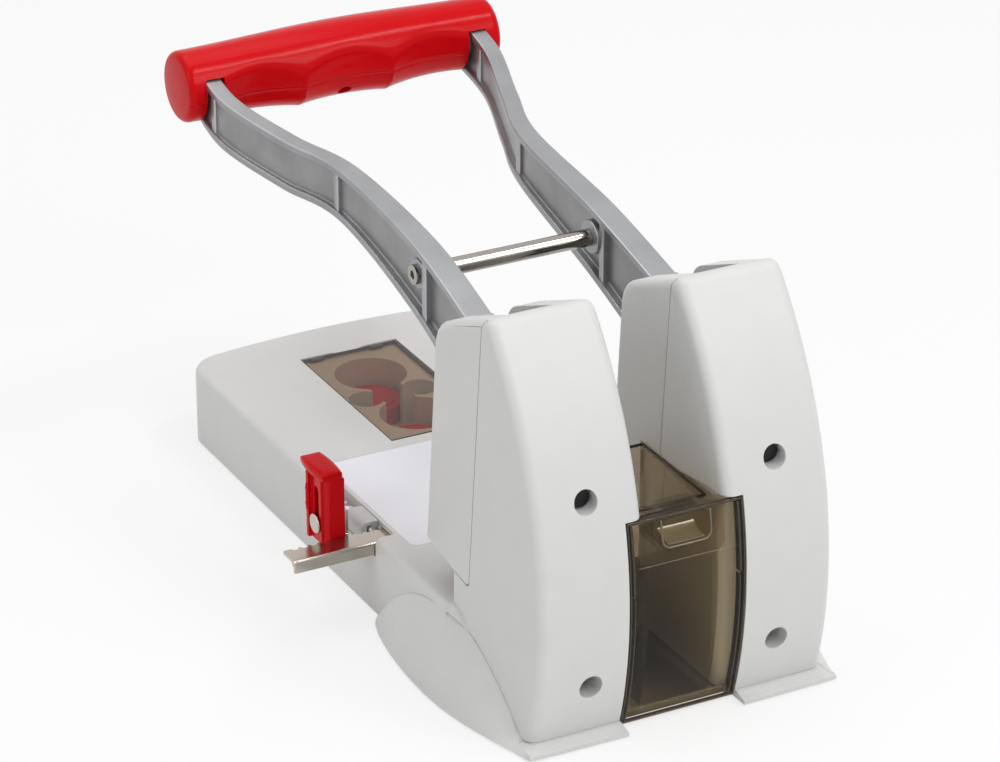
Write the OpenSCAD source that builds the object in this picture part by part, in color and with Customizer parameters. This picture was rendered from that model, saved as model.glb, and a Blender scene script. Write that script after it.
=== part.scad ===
// Two-hole heavy duty paper punch with a long lever
// Millimetres. +Z is up, +Y points to the rear, +X is the user's right.
// The origin is the middle of the anti-slip mat, on the surface the punch stands on.

/* [Punching] */
// Distance between the two punched holes
punch_spacing = 80; // [76:1:88]
// Punch axis, measured back from the origin
punch_y = 74; // [70:1:78]
// Distance from the paper's edge to the hole centres
paper_margin = 12; // [10:0.5:13]
// Outside radius of the hollow punch
punch_r = 2.75; // [2.5:0.05:3.2]
// Wall of the hollow punch
punch_wall = 0.55; // [0.4:0.05:0.8]
// Throat height at the paper stop
throat_h = 14; // [12.5:0.5:15]
// Angle at which the head's underside rises to the front
throat_rise = 9; // [6:0.5:12]
// Radius of a cutting disc
disc_r = 13.5; // [11:0.5:14.5]
// Thickness of a cutting disc
disc_t = 4; // [3:0.25:5]

/* [Base] */
// Height of the table
deck_z = 34; // [32:0.5:37]
// Thickness of the table
deck_t = 3; // [2.8:0.1:3.4]
// Wall of the base housing
base_wall = 2.6; // [2:0.1:3.2]
// How far the base stands out beyond each tower
base_side = 4.5; // [4:0.25:8]
// Reach of the table in front of the punch axis
deck_reach = 238; // [228:1:260]
// How far the front edge bows out
front_bow = 6; // [3:0.5:9]
// Radius of the front corners
corner_r = 16; // [12:1:22]
// Radius of the table's edge
deck_edge_r = 3; // [2:0.25:5]
// Gap between the housing's lower rim and the surface
rim_z = 0.8; // [0.4:0.1:1.2]
// Height of the foot lip behind the towers
foot_h = 3.7; // [3.4:0.1:4.6]
// How far the foot stands out behind the towers
foot_out = 1.2; // [0.5:0.1:3]
// How far the foot's rear edge bows out
foot_bow = 1.2; // [0.6:0.1:3]
// How far a side fender stands out beyond the base
fender_out = 12; // [6:0.5:14]
// Length of a side fender
fender_l = 124; // [100:1:128]
// Height of a side fender's upper edge
fender_h = 29.6; // [24:0.2:31]

/* [Underside] */
// Thickness of the steel base plate
plate_t = 1.5; // [1:0.1:2]
// Thickness of the anti-slip mat
mat_t = 1.4; // [1.2:0.1:2]
// Width of the anti-slip mat
mat_w = 92; // [60:1:96]
// Length of the anti-slip mat
mat_l = 276; // [200:1:280]
// Radius of the base screws
base_screw_r = 1.5; // [1.2:0.1:2]

/* [Towers] */
// From the punch axis to a tower's inner face
tower_in = 20; // [19:0.25:22]
// From the punch axis to a tower's outer face
tower_out = 22; // [20:0.25:25]
// From the punch axis to the front of the head
head_nose = 13; // [12.5:0.25:16]
// Depth of a tower from the head's front to the rear bulge
tower_depth = 93; // [90:1:100]
// Height of a tower at its rear top edge
crown_z = 159; // [150:1:164]
// Slope of a tower's top
crown_slope = 23; // [18:0.5:26]
// Backward lean of a tower's front
head_lean = 4.5; // [2:0.25:6]
// Radius of the rear face in side view
rear_r = 169; // [162:1:185]
// Height of the rearmost point
bulge_z = 50; // [44:1:54]
// Wall of the tower covers
cover_wall = 2.4; // [2:0.1:2.8]
// Radius of a tower's rear edges
rear_edge_r = 9; // [6:0.5:10]
// Radius of a tower's front edges
front_edge_r = 7; // [5:0.5:9]
// Radius of a tower's top edges
crown_edge_r = 5; // [3.5:0.5:7]
// Depth of the front cover, back to the seam
seam_depth = 37.5; // [34:0.5:40]
// Width of the seam between the covers
seam_gap = 0.4; // [0.2:0.1:0.6]
// Radius of the screw access holes
access_r = 4.75; // [4.4:0.05:5.5]
// Height of the upper screws
screw_z_top = 98.8; // [94:0.2:101]
// Height of the lower screws
screw_z_low = 24.5; // [20:0.5:30]
// Radius of the cover screws
cover_screw_r = 2; // [1.5:0.1:2.4]

/* [Frame] */
// Gap between the cheeks of a frame
cheek_gap = 18; // [17:0.5:18.5]
// Thickness of a cheek
cheek_t = 4; // [3:0.25:5]
// Thickness of the rear strap
strap_t = 4; // [3:0.25:4.5]
// Radius of the lever's pivot shafts
pivot_r = 5; // [4:0.25:6]
// Height of the lever's pivot
pivot_z = 106; // [105:0.5:107]
// Full stroke of the punches
stroke = 18; // [16:0.25:18.5]

/* [Lever] */
// Distance from the pivot forward to the grip's axis
grip_reach = 266; // [255:1:275]
// Height of the grip's axis
grip_z = 164.5; // [160:0.5:172]
// Half the distance between the arms at the grip
arm_splay = 60.2; // [54:0.2:66]
// Y of the bend's end near the grip
bend_front_y = -118; // [-120:1:-112]
// Y of the bend's end near the rod
bend_rear_y = -48; // [-60:1:-40]
// Height of the arms at the bend's front end
bend_front_z = 156; // [152:0.5:160]
// Height of the arms at the bend's rear end
bend_rear_z = 147; // [143:0.5:150]
// Height of an arm's section at the grip
arm_h_grip = 22; // [18:0.5:24]
// Height of an arm's section at the tie rod
arm_h_rod = 29; // [26:0.5:32]
// Height of an arm's section at the tower
arm_h_tower = 35; // [32:0.5:36]
// Width of an arm's flanges at the grip
arm_w_grip = 7.3; // [6:0.1:9]
// Width of an arm's flanges at the tower
arm_w_tower = 12; // [10:0.25:13]
// Thickness of an arm's flanges
arm_flange_t = 3; // [2:0.25:4]
// Thickness of an arm's web
arm_web_t = 3.4; // [2.5:0.1:5]
// Y of the tie rod
rod_y = 15.5; // [8:0.5:24]
// Height of the tie rod
rod_z = 138.4; // [135:0.2:141]
// Radius of the tie rod
rod_r = 3.5; // [2.8:0.1:4.5]
// Radius of a press roller
roller_r = 6; // [5.5:0.25:6.5]

/* [Grip] */
// Half the length of the grip
grip_half = 71.5; // [69:0.5:80]
// Radius of the grip in the middle
grip_r_mid = 16.8; // [15:0.2:19]
// Radius of the grip at its ends
grip_r_end = 15; // [14:0.2:17]
// Depth of the finger scallops
scallop = 2.6; // [1:0.1:3.5]
// Distance between the finger scallops
scallop_pitch = 40; // [34:1:46]
// Radius of the bar inside the grip
core_r = 4.5; // [3.5:0.25:5.5]

/* [Chip tray] */
// Height of the tray's rear panel
tray_panel_z = 87.6; // [82:0.2:88.4]
// Half the width of the tray's rear panel
tray_panel_half = 24.7; // [24:0.1:26]
// Height of the tray's mouth
tray_rim_z = 84; // [78:0.5:85]
// Height of the ledge in the tray's sides
tray_ledge_z = 71; // [60:0.5:74]
// Width of the ledge in the tray's sides
tray_step = 3.5; // [2:0.25:5]
// Wall of the tray
tray_wall = 1.8; // [1.4:0.1:2.2]
// Width of the finger cup
cup_w = 21.5; // [18:0.5:26]
// Height of the finger cup
cup_h = 12; // [9:0.5:14]
// Depth of the finger cup behind the panel
cup_d = 15; // [12:0.5:16]
// Travel of the tray
tray_travel = 75; // [40:1:90]

/* [Storage] */
// Width of the storage lid
lid_w = 45; // [43:0.5:48]
// Length of the storage lid
lid_l = 87; // [84:0.5:90]
// Thickness of the storage lid
lid_t = 1.8; // [1.6:0.1:2]
// Y of the lid's hinge
lid_hinge_y = -49.5; // [-51:0.5:-48.5]
// Radius of a round pocket for spare discs
pocket_r = 15.5; // [15:0.25:18]
// Height of the pocket's floor
pocket_z = 12; // [10:0.5:16]

/* [Table plate] */
// Width of the bare white plate
label_w = 113; // [90:1:113.6]
// Length of the bare white plate
label_l = 80; // [60:1:81]
// Middle of the white plate
label_y = -2; // [-3:0.5:0]
// Thickness of the white plate
label_t = 0.8; // [0.4:0.1:1.2]

/* [Paper stop] */
// Length of the stop rail
rail_l = 143; // [130:1:150]
// How far the rail stands out of the base
rail_out = 34.5; // [26:0.5:44]
// Depth of the rail, front to back
rail_d = 10.8; // [9:0.1:12]
// Height of the rail's rear flange
rail_h = 5.3; // [4:0.1:6]
// Thickness of the rail's sheet
rail_t = 1.5; // [1:0.1:1.8]
// Depth of the rail's top below the table
rail_drop = 2.2; // [2:0.1:3]
// Pitch of the detent notches
notch_pitch = 4; // [3:0.5:6]
// Thickness of the stop flag
flag_t = 10.6; // [9:0.2:12]
// Gap between the base's side and the stop flag
flag_out = 7.3; // [4:0.1:10]
// Height of the stop flag
flag_h = 28.4; // [24:0.2:32]
// Depth of the stop flag's stem
flag_stem_d = 14; // [12:0.25:15]
// How far the flag's cap stands out to the front
flag_cap_out = 6.5; // [4:0.25:9]
// Travel of the stop flag
flag_travel = 14; // [10:0.5:15]
// Radius of the flag's rivet
rivet_r = 1.5; // [1.2:0.1:1.8]

/* [Clearances] */
// Gap between fixed pieces that sit in one another
seat_gap = 0.15; // [0.1:0.05:0.25]
// Gap beside a sliding piece
slide_gap = 0.3; // [0.25:0.05:0.4]
// Radial gap of a shaft that turns
run_gap = 0.05; // [0.03:0.01:0.08]

/* [Hidden] */

$fn = 64;
// Reach of a cutting shape past what it cuts
over = 1;
// Size of a half space
far = 400;

side_x = punch_spacing / 2;
base_half = side_x + tower_out + base_side;
front_y = punch_y - deck_reach;
head_y = punch_y - head_nose;
column_y = punch_y + paper_margin;
bulge_y = head_y + tower_depth;
arc_y = bulge_y - rear_r;
tower_w = tower_in + tower_out;
ceiling_z = deck_z + throat_h + (column_y - head_y) * tan(throat_rise);
crown_y = arc_y + sqrt(pow(rear_r, 2) - pow(crown_z - bulge_z, 2));
foot_y = bulge_y + foot_out;
deck_low = deck_z - deck_t;

plate_z = mat_t + plate_t;
tray_gap_half = side_x - tower_in;
tray_half = tray_gap_half - slide_gap - 0.4;
tray_panel_y = bulge_y - 16;
tray_front_y = column_y + 1;
tray_flare = tray_panel_half - tray_half;
tray_flare_y = tray_panel_y + slide_gap;
tray_floor_z = plate_z + slide_gap;

// Frame inside a tower
frame_half = cheek_gap / 2 + cheek_t;
frame_throat_y = column_y + 4;
strap_y1 = bulge_y - 16.5;
strap_y0 = strap_y1 - strap_t;
// Radius of the lever's hub, and its gap to the rear strap
hub_r = 11;
hub_clear = 1.5;
pivot_y = strap_y0 - hub_clear - hub_r;
strap_top = pivot_z + 4;
guide_half = 8.4;
guide_z0 = ceiling_z + cover_wall + 0.2;
guide_z1 = guide_z0 + 17.5;
spring_well_r = 7.2;
spring_floor_z = guide_z0 + 2.6;
die_top = deck_z - 0.4 - disc_t;

// Punch and ram at rest, top to bottom
tip_z = deck_z - 0.4 + seat_gap + stroke;
flange_z = guide_z1 + stroke - 7;
flange_t = 3;
flange_r = spring_well_r - slide_gap;
stem_r = 4;
ram_t = 6;
ram_r = cheek_gap / 2 - 1;
ram_top = flange_z + 14;
roller_w = 6;
roller_pin_r = 2.5;
roller_z = ram_top + slide_gap + roller_r;
hub_half = cheek_gap / 2 - slide_gap;

// Lever
grip_y = pivot_y - grip_reach;
mouth_y = head_y + 3;
mouth_z = pivot_z + 15.4;
arm_x_rod = side_x - 1.2;
rod_boss_r = rod_r + 3.5;
arm_slot_half = arm_w_tower / 2 + 2.5;
arm_slot_z = ceiling_z + 27;
arm_end_r = arm_h_grip / 2 - 0.8;
arm_end_half = arm_w_grip / 2 + 0.3;

// Storage lid
lid_z = deck_z - 0.4 - lid_t / 2;
lid_front_y = lid_hinge_y - lid_l;
lid_pin_r = 0.8;
lid_pin_l = 2;
pocket_mid_y = lid_hinge_y - lid_l / 2;
pocket_step = 21.5;

// Rail, its notch in the base and the flag
rail_z = deck_z - rail_drop;
rail_y0 = 14;
rail_y1 = rail_y0 + rail_d;
rail_x1 = base_half + rail_out;
rail_x0 = rail_x1 - rail_l;
notch_x = base_half - 8.3;
notch_y0 = -28;
notch_y1 = rail_y1 + 0.6;
notch_z = rail_z - rail_h - 0.5;
notch_wall = 2.6;
guide_l = 38;
guide_y0 = rail_y0 - 17.2;
guide_y1 = rail_y1 + 1.6;
guide_x0 = notch_x - guide_l;
guide_low = rail_z - rail_h - 2;
detent_x = (notch_x + base_half) / 2;
detent_h = 4.6;
detent_half = 2;
detent_t = 0.6;
detent_wave_l = 5;
detent_straight_y = rail_y0 - 5;
ear_t = 1.5;
flag_x = base_half + flag_out;
ear_x = flag_x - ear_t - slide_gap;
flag_y1 = rail_y0 - 0.4;
flag_y0 = flag_y1 - flag_stem_d;
flag_low = rail_z;
flag_z = flag_low + flag_h;
groove_depth = 1.5;
groove_x = flag_x + flag_t - groove_depth;
rivet_y = flag_y1 - flag_stem_d / 2;
rivet_z = flag_low + 4.5;
rivet_head_r = 4;

// Colours
housing_grey = [0.86, 0.86, 0.85];
part_grey = [0.80, 0.80, 0.79];
signal_red = [0.84, 0.02, 0.05];
smoke_brown = [0.33, 0.28, 0.2, 0.6];
cast_silver = [0.66, 0.67, 0.69];
bright_steel = [0.80, 0.79, 0.76];
dark_steel = [0.32, 0.33, 0.35];
black_oxide = [0.1, 0.1, 0.1];
rubber_black = [0.12, 0.12, 0.12];
plate_white = [0.93, 0.93, 0.95];

// Helpers

// Extrudes a (y, z) outline along X, centred
module along_x(length) {
  rotate([90, 0, 90]) linear_extrude(height = length, center = true) children();
}

// A shaft along X, from x0 to x1
module x_shaft(r, x0, x1) {
  translate([x0, 0, 0]) rotate([0, 90, 0]) cylinder(r = r, h = x1 - x0);
}

// A shaft along Y, from y0 to y1
module y_shaft(r, y0, y1) {
  translate([0, y0, 0]) rotate([-90, 0, 0]) cylinder(r = r, h = y1 - y0);
}

module block(x0, x1, y0, y1, z0, z1) {
  translate([x0, y0, z0]) cube([x1 - x0, y1 - y0, z1 - z0]);
}

module round_rect(x0, x1, y0, y1, r) {
  translate([x0 + r, y0]) square([x1 - x0 - 2 * r, y1 - y0]);
  translate([x0, y0 + r]) square([x1 - x0, y1 - y0 - 2 * r]);
  for (x = [x0 + r, x1 - r], y = [y0 + r, y1 - r]) translate([x, y]) circle(r);
}

// Places a right-hand piece on its tower
module at_right() {
  translate([side_x, 0, 0]) children();
}

module at_left() {
  mirror([1, 0, 0]) at_right() children();
}

// A solid swept through rings of points, each of the same count; caps splits its end faces
module skin(rings, caps = []) {
  sides = len(rings[0]);
  count = len(rings);
  ends = len(caps) > 0 ? caps : [[for (j = [0 : sides - 1]) j]];
  points = [for (ring = rings) each ring];
  walls = [
    for (i = [0 : count - 2], j = [0 : sides - 1])
      let (a = i * sides + j, b = i * sides + (j + 1) % sides)
        each [[a, b, b + sides], [a, b + sides, a + sides]]
  ];
  first = [for (loop = ends) [for (j = [len(loop) - 1 : -1 : 0]) loop[j]]];
  last = [for (loop = ends) [for (j = loop) (count - 1) * sides + j]];
  polyhedron(points, concat(walls, first, last), convexity = 6);
}

// Base

bow_r = (pow(base_half, 2) + pow(front_bow, 2)) / (2 * front_bow);
bow_y = front_y + bow_r;

// Plan of the base, drawn in by inset, back to rear_y
module base_plan(inset, rear_y) {
  r = corner_r - inset;
  x = base_half - corner_r;
  y = bow_y - sqrt(pow(bow_r - corner_r, 2) - pow(x, 2));
  reach = bow_r - inset;
  tangent_x = x * bow_r / (bow_r - corner_r) - inset * x / (bow_r - corner_r);
  intersection() {
    translate([0, bow_y]) circle(reach, $fn = 200);
    translate([-tangent_x, front_y - over]) square([2 * tangent_x, rear_y - front_y + over]);
  }
  for (s = [-1, 1]) translate([s * x, y]) circle(r, $fn = 48);
  translate([-base_half + inset, y]) square([2 * (base_half - inset), rear_y - y]);
}

// Outer form of the table end, with a rounded upper edge
module base_form() {
  steps = 4;
  rear_y = column_y;
  hull() {
    translate([0, 0, rim_z]) linear_extrude(height = deck_z - deck_edge_r - rim_z) base_plan(0, rear_y);
    for (i = [1 : steps]) {
      a = 90 * i / steps;
      translate([0, 0, deck_z - deck_edge_r * (1 - sin(a)) - 0.01])
        linear_extrude(height = 0.01) base_plan(deck_edge_r * (1 - cos(a)), rear_y);
    }
  }
}

foot_edge_h = 1.5;
foot_bow_r = (pow(base_half, 2) + pow(foot_bow, 2)) / (2 * foot_bow);

// Plan of the foot behind the towers, drawn in by inset
module foot_plan(inset) {
  r = 1.2;
  x = base_half - inset;
  intersection() {
    translate([0, foot_y - foot_bow_r - inset]) circle(foot_bow_r, $fn = 200);
    round_rect(-x, x, column_y - base_wall, foot_y - inset, r);
  }
}

// Foot plate with a sloped upper edge
module foot() {
  slope = 5.5;
  slice = 0.01;
  hull() {
    translate([0, 0, rim_z]) linear_extrude(height = foot_edge_h) foot_plan(0);
    translate([0, 0, foot_h - slice]) linear_extrude(height = slice) foot_plan(slope);
  }
}

// Side fenders, drawn for the right side; t runs from the front tip to the rear corner

tower_side = side_x + tower_out;
fender_y1 = foot_y - foot_bow - 1.4;
fender_y0 = fender_y1 - fender_l;
fender_peak = 0.42;
fender_fall = 0.87;
fender_strip = 2.2;

// Eases from 0 to 1 as t goes from a to b
function ease(t, a, b) = let (u = min(1, max(0, (t - a) / (b - a)))) u * u * (3 - 2 * u);

// How far the fender's lower edge swells out at t
function fender_swell(t) = fender_out * pow(max(0, sin(180 * t)), t < 0.5 ? 0.5 : 1);

// Height of the fender's upper edge at t
function fender_edge(t) =
  let (s = (t - fender_peak) / (1 - fender_peak) / fender_fall)
  max(rim_z + foot_edge_h - 0.1, fender_h * (t < fender_peak
    ? pow(sin(90 * t / fender_peak), 0.75)
    : pow(max(0, cos(90 * min(1, s))), 0.8)));

// Section of the fender at t, from its foot up the face and back to the tower
function fender_ring(t) =
  let (
    faces = 5,
    swell = 6.4 * fender_swell(t) / fender_out,
    soft = 0.5,
    y = fender_y0 + fender_l * t,
    x_in = y < column_y ? tower_side - 1 : tower_side - rear_edge_r - 2,
    x_low = base_half - 0.05 + fender_swell(t),
    z = fender_edge(t),
    x_front = base_half + min(0.9, 0.1 * fender_swell(t)) - 0.1,
    x_rear = tower_side + fender_strip + 2 * ease(t, 0.85, 1),
    x = x_front + (x_rear - x_front) * ease(t, 0.36, 0.56),
    rise = 3.2 * ease(t, 0.12, fender_peak),
    x_top = base_half - base_wall / 2 + (tower_side - base_half + base_wall / 2) * ease(t, 0.42, 0.5),
    z_top = min(deck_z - 0.3, z + soft + rise * (1 - ease(t, 0.46, 0.57)))
  )
  concat(
    [[x_in, y, rim_z], [x_low, y, rim_z]],
    [for (i = [1 : faces - 1]) let (v = i / faces)
      [x_low + (x - x_low) * v + swell * v * (1 - v), y, rim_z + (z - rim_z) * v]],
    [[x, y, z], [x - 0.6, y, z + soft * 0.7], [x_top, y, z_top], [x_in, y, z_top]]
  );

module fender() {
  steps = 34;
  skin([for (i = [0 : steps]) fender_ring(pow(i / steps, 1.25))]);
}

// Outline of the lobed storage pocket
module pocket_plan(grow) {
  neck = 7;
  finger_r = 7.5;
  for (s = [-1, 1]) translate([0, s * pocket_step]) circle(pocket_r + grow);
  square([2 * (neck + grow), 2 * pocket_step], center = true);
  for (s = [-1, 1]) translate([s * (lid_w / 2 - finger_r - 2.5), 0]) circle(finger_r + grow);
}

// Places of the base plate's screws
module base_screw_places() {
  front = front_y + 32;
  rear = column_y - 38;
  for (x = [-1, 1], y = [front, rear]) translate([x * (base_half - 10), y, 0]) children();
}

module plate_plan(gap) {
  x = base_half - base_wall - slide_gap + gap;
  round_rect(-x, x, front_y + 14 - gap, strap_y1 + 2.6 + gap, 12);
}

module base_bosses() {
  base_screw_places() translate([0, 0, plate_z])
    cylinder(r = base_screw_r + 2.5, h = deck_low - plate_z + over);
}

module storage_tub() {
  wall = 1.8;
  rim_t = 3.5;
  rim = 3;
  translate([0, pocket_mid_y, pocket_z - wall])
    linear_extrude(height = deck_low - pocket_z + wall + over) pocket_plan(wall);
  block(-lid_w / 2 - rim, lid_w / 2 + rim, lid_front_y - rim, lid_hinge_y + rim + 1,
    deck_low - rim_t, deck_low + over);
}

module notch_walls() {
  block(notch_x - notch_wall, base_half - over, notch_y0 - notch_wall, notch_y1 + notch_wall,
    notch_z - notch_wall, deck_low + over);
}

// Open notch in the right side, where the rail and its flag come out
module notch_cut() {
  r = 1.6;
  translate([0, 0, notch_z]) linear_extrude(height = far) {
    translate([notch_x + r, notch_y0]) square([far, notch_y1 - notch_y0]);
    translate([notch_x, notch_y0 + r]) square([far, notch_y1 - notch_y0 - 2 * r]);
    for (y = [notch_y0 + r, notch_y1 - r]) translate([notch_x + r, y]) circle(r);
  }
  block(notch_x - notch_wall - over, notch_x + over, guide_y0 - seat_gap, guide_y1 + seat_gap,
    guide_low - seat_gap, deck_low);
  block(rail_x0 - 2 * over, notch_x + over, rail_y0 - slide_gap, rail_y1 + slide_gap,
    deck_low - over, rail_z + slide_gap);
}

module lid_recess() {
  gap = slide_gap;
  block(-lid_w / 2 - gap, lid_w / 2 + gap, lid_front_y - gap, lid_hinge_y + lid_t / 2 + gap,
    lid_z - lid_t / 2 - 0.1, far);
  translate([0, lid_hinge_y, lid_z])
    x_shaft(lid_pin_r + run_gap, -lid_w / 2 - lid_pin_l - gap, lid_w / 2 + lid_pin_l + gap);
  thumb_r = 36;
  thumb_depth = 1.2;
  translate([0, lid_front_y - 4, deck_z + thumb_r - thumb_depth])
    rotate([90, 0, 0]) sphere(thumb_r, $fn = 96);
}

// Space for a tower's cover and frame in the base
module tower_well() {
  intersection() {
    tower_form(-seat_gap, foot_h);
    block(-far, far, column_y - seat_gap, far, 0, far);
  }
  block(-frame_half - 0.6, frame_half + 0.6, punch_y - guide_half - 1.4, strap_y1 + 0.6, -over, deck_low);
  translate([0, punch_y, 0]) cylinder(r = disc_r + seat_gap, h = deck_z + over);
}

module tray_bay() {
  block(-tray_gap_half - over, tray_gap_half + over, column_y, far, -over, far);
  block(-tray_panel_half - slide_gap, tray_panel_half + slide_gap, tray_panel_y, far, -over, far);
}

module base_shell() {
  color(housing_grey) difference() {
    union() {
      difference() {
        base_form();
        translate([0, 0, -over]) linear_extrude(height = deck_low + over) base_plan(base_wall, column_y - 2);
      }
      foot();
      fender();
      mirror([1, 0, 0]) fender();
      base_bosses();
      storage_tub();
      notch_walls();
    }
    translate([0, 0, -over]) linear_extrude(height = plate_z + over) plate_plan(slide_gap);
    translate([0, pocket_mid_y, pocket_z]) linear_extrude(height = far) pocket_plan(0);
    lid_recess();
    notch_cut();
    tray_bay();
    at_right() tower_well();
    at_left() tower_well();
    label_x = label_w / 2 + seat_gap;
    translate([0, 0, deck_z - label_t]) linear_extrude(height = far)
      round_rect(-label_x, label_x, label_y - label_l / 2 - seat_gap, label_y + label_l / 2 + seat_gap, 4);
    base_screw_places() cylinder(r = base_screw_r + 0.02, h = deck_low - 2);
  }
}

module base_plate() {
  head_r = 2 * base_screw_r;
  color(bright_steel) difference() {
    translate([0, 0, mat_t]) linear_extrude(height = plate_t) plate_plan(0);
    base_screw_places() translate([0, 0, mat_t])
      cylinder(r1 = head_r + 0.1, r2 = base_screw_r + 0.1, h = plate_t);
  }
}

module anti_slip_mat() {
  color(rubber_black) linear_extrude(height = mat_t)
    round_rect(-mat_w / 2, mat_w / 2, -mat_l / 2, mat_l / 2, 8);
}

module base_screws() {
  color(black_oxide) base_screw_places() {
    translate([0, 0, mat_t]) cylinder(r1 = 2 * base_screw_r, r2 = base_screw_r, h = plate_t);
    translate([0, 0, mat_t + plate_t]) cylinder(r = base_screw_r, h = 12);
  }
}

module table_plate() {
  x = label_w / 2;
  color(plate_white) translate([0, 0, deck_z - label_t]) linear_extrude(height = label_t)
    round_rect(-x, x, label_y - label_l / 2, label_y + label_l / 2, 4);
}

// Clear lid, hinged at its rear edge, with two snap tabs in front
module storage_lid() {
  x = lid_w / 2;
  tab_w = 9;
  tab_d = 0.6;
  color(smoke_brown) difference() {
    union() {
      block(-x, x, lid_front_y, lid_hinge_y, lid_z - lid_t / 2, lid_z + lid_t / 2);
      translate([0, lid_hinge_y, lid_z]) {
        x_shaft(lid_t / 2, -x, x);
        x_shaft(lid_pin_r, -x - lid_pin_l, x + lid_pin_l);
      }
    }
    for (s = [-1, 1]) translate([s * lid_w / 4 - tab_w / 2, lid_front_y - over, lid_z])
      cube([tab_w, tab_d + over, lid_t]);
  }
}

module spare_cutting_discs() {
  lift = 0.05;
  color(signal_red) for (s = [-1, 1], level = [0, 1])
    translate([0, pocket_mid_y + s * pocket_step, pocket_z + level * (disc_t + lift)]) disc_solid();
}

// A plastic cutting disc with a dished middle
module disc_solid() {
  difference() {
    cylinder(r = disc_r, h = disc_t);
    translate([0, 0, disc_t - 0.5]) difference() {
      cylinder(r = disc_r - 1.5, h = over);
      translate([0, 0, -over]) cylinder(r = disc_r - 4, h = 3 * over);
    }
  }
}

// Towers, drawn for the right side about the punch axis

function dot(a, b) = a[0] * b[0] + a[1] * b[1];

// How far an edge of radius r draws a face in, at depth d behind the side face
function edge_inset(r, d) = d < r ? r - sqrt(max(0, r * r - pow(r - d, 2))) : 0;

// Where the line through p along u meets the line through q along v
function meet(p, u, q, v) = p + u * ((q - p)[0] * v[1] - (q - p)[1] * v[0]) / (u[0] * v[1] - u[1] * v[0]);

// Three points that round a corner at p between the directions u and v
function soft_corner(p, u, v, size) = [for (t = [0, 0.5, 1]) p + size * (pow(1 - t, 2) * u + t * t * v)];

// Side outline of a tower, [y, z], its faces drawn in by the given amounts
function tower_outline(front_in, crown_in, rear_in, low_z) =
  let (
    steps = 14,
    soft = 4,
    f = [sin(head_lean), cos(head_lean)],
    c = [cos(crown_slope), sin(crown_slope)],
    front = [head_y, ceiling_z] + front_in * [f[1], -f[0]],
    crown = [crown_y, crown_z] + crown_in * [c[1], -c[0]],
    middle = [arc_y, bulge_z],
    r = rear_r - rear_in,
    off = crown - middle,
    reach = sqrt(pow(dot(off, c), 2) - dot(off, off) + r * r) - dot(off, c),
    nose = meet(front, f, crown, c),
    peak = crown + reach * c,
    top_a = asin((peak[1] - bulge_z) / r) - 57.3 * soft / r,
    low_a = asin((low_z - bulge_z) / r),
    down = [r * cos(top_a), r * sin(top_a)] + middle - peak
  )
  concat(
    [front + f * (low_z - front[1]) / f[1]],
    soft_corner(nose, -f, c, 2 * soft),
    soft_corner(peak, -c, down / soft, soft),
    [for (i = [1 : steps]) let (a = top_a + (low_a - top_a) * i / steps) middle + r * [cos(a), sin(a)]]
  );

// Rounded body of a tower, drawn in by inset, from low_z up
module tower_form(inset, low_z) {
  steps = 5;
  edge = rear_edge_r - inset;
  depths = [for (i = [0 : steps]) edge * (1 - cos(90 * i / steps))];
  xs = concat(
    [for (d = depths) [inset - tower_in + d, d]],
    [for (i = [steps : -1 : 0]) [tower_out - inset - depths[i], depths[i]]]
  );
  skin([for (s = xs) [for (p = tower_outline(
    inset + edge_inset(front_edge_r - inset, s[1]),
    inset + edge_inset(crown_edge_r - inset, s[1]),
    inset + edge_inset(edge, s[1]),
    low_z)) [s[0], p[0], p[1]]]]);
}

// Space behind the seam, from offset on
module behind_seam(offset) {
  translate([0, head_y, ceiling_z]) rotate([-head_lean, 0, 0])
    translate([-far, seam_depth + offset, -far]) cube(2 * far);
}

module ahead_of_seam(offset) {
  translate([0, head_y, ceiling_z]) rotate([-head_lean, 0, 0])
    translate([-far, seam_depth - offset - 2 * far, -far]) cube(2 * far);
}

// Space above the throat's ceiling
module above_ceiling(offset) {
  translate([0, head_y, ceiling_z]) rotate([-throat_rise, 0, 0])
    translate([-far, -far, offset]) cube(2 * far);
}

module below_ceiling(offset) {
  translate([0, head_y, ceiling_z]) rotate([-throat_rise, 0, 0])
    translate([-far, -far, -offset - 2 * far]) cube(2 * far);
}

// Slot for the lever arm, open at the front and top
module arm_slot() {
  rear = crown_y - 8;
  block(-arm_slot_half, arm_slot_half, -far, head_y + 16, arm_slot_z, far);
  block(-arm_slot_half, arm_slot_half, -far, rear, mouth_z + 8, far);
}

module tower_front_cover() {
  window_h = 12;
  color(housing_grey) difference() {
    intersection() {
      tower_form(0, foot_h);
      ahead_of_seam(seam_gap / 2);
      above_ceiling(0);
    }
    intersection() {
      tower_form(cover_wall, plate_z);
      above_ceiling(cover_wall);
    }
    arm_slot();
    translate([0, punch_y, 0]) cylinder(r = punch_r + 2, h = guide_z0);
    block(-frame_half - seat_gap, frame_half + seat_gap, frame_throat_y - seat_gap, far, 0, guide_z0 + over);
    block(-tower_in - over, -tower_in + cover_wall + over, punch_y + 4, column_y + 5,
      guide_z0 + 10, guide_z0 + 10 + window_h);
  }
}

screw_heights = [screw_z_low, screw_z_top];
boss_wall = 2;
boss_floor = 2.3;
tray_notch_wall = 1.6;

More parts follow.
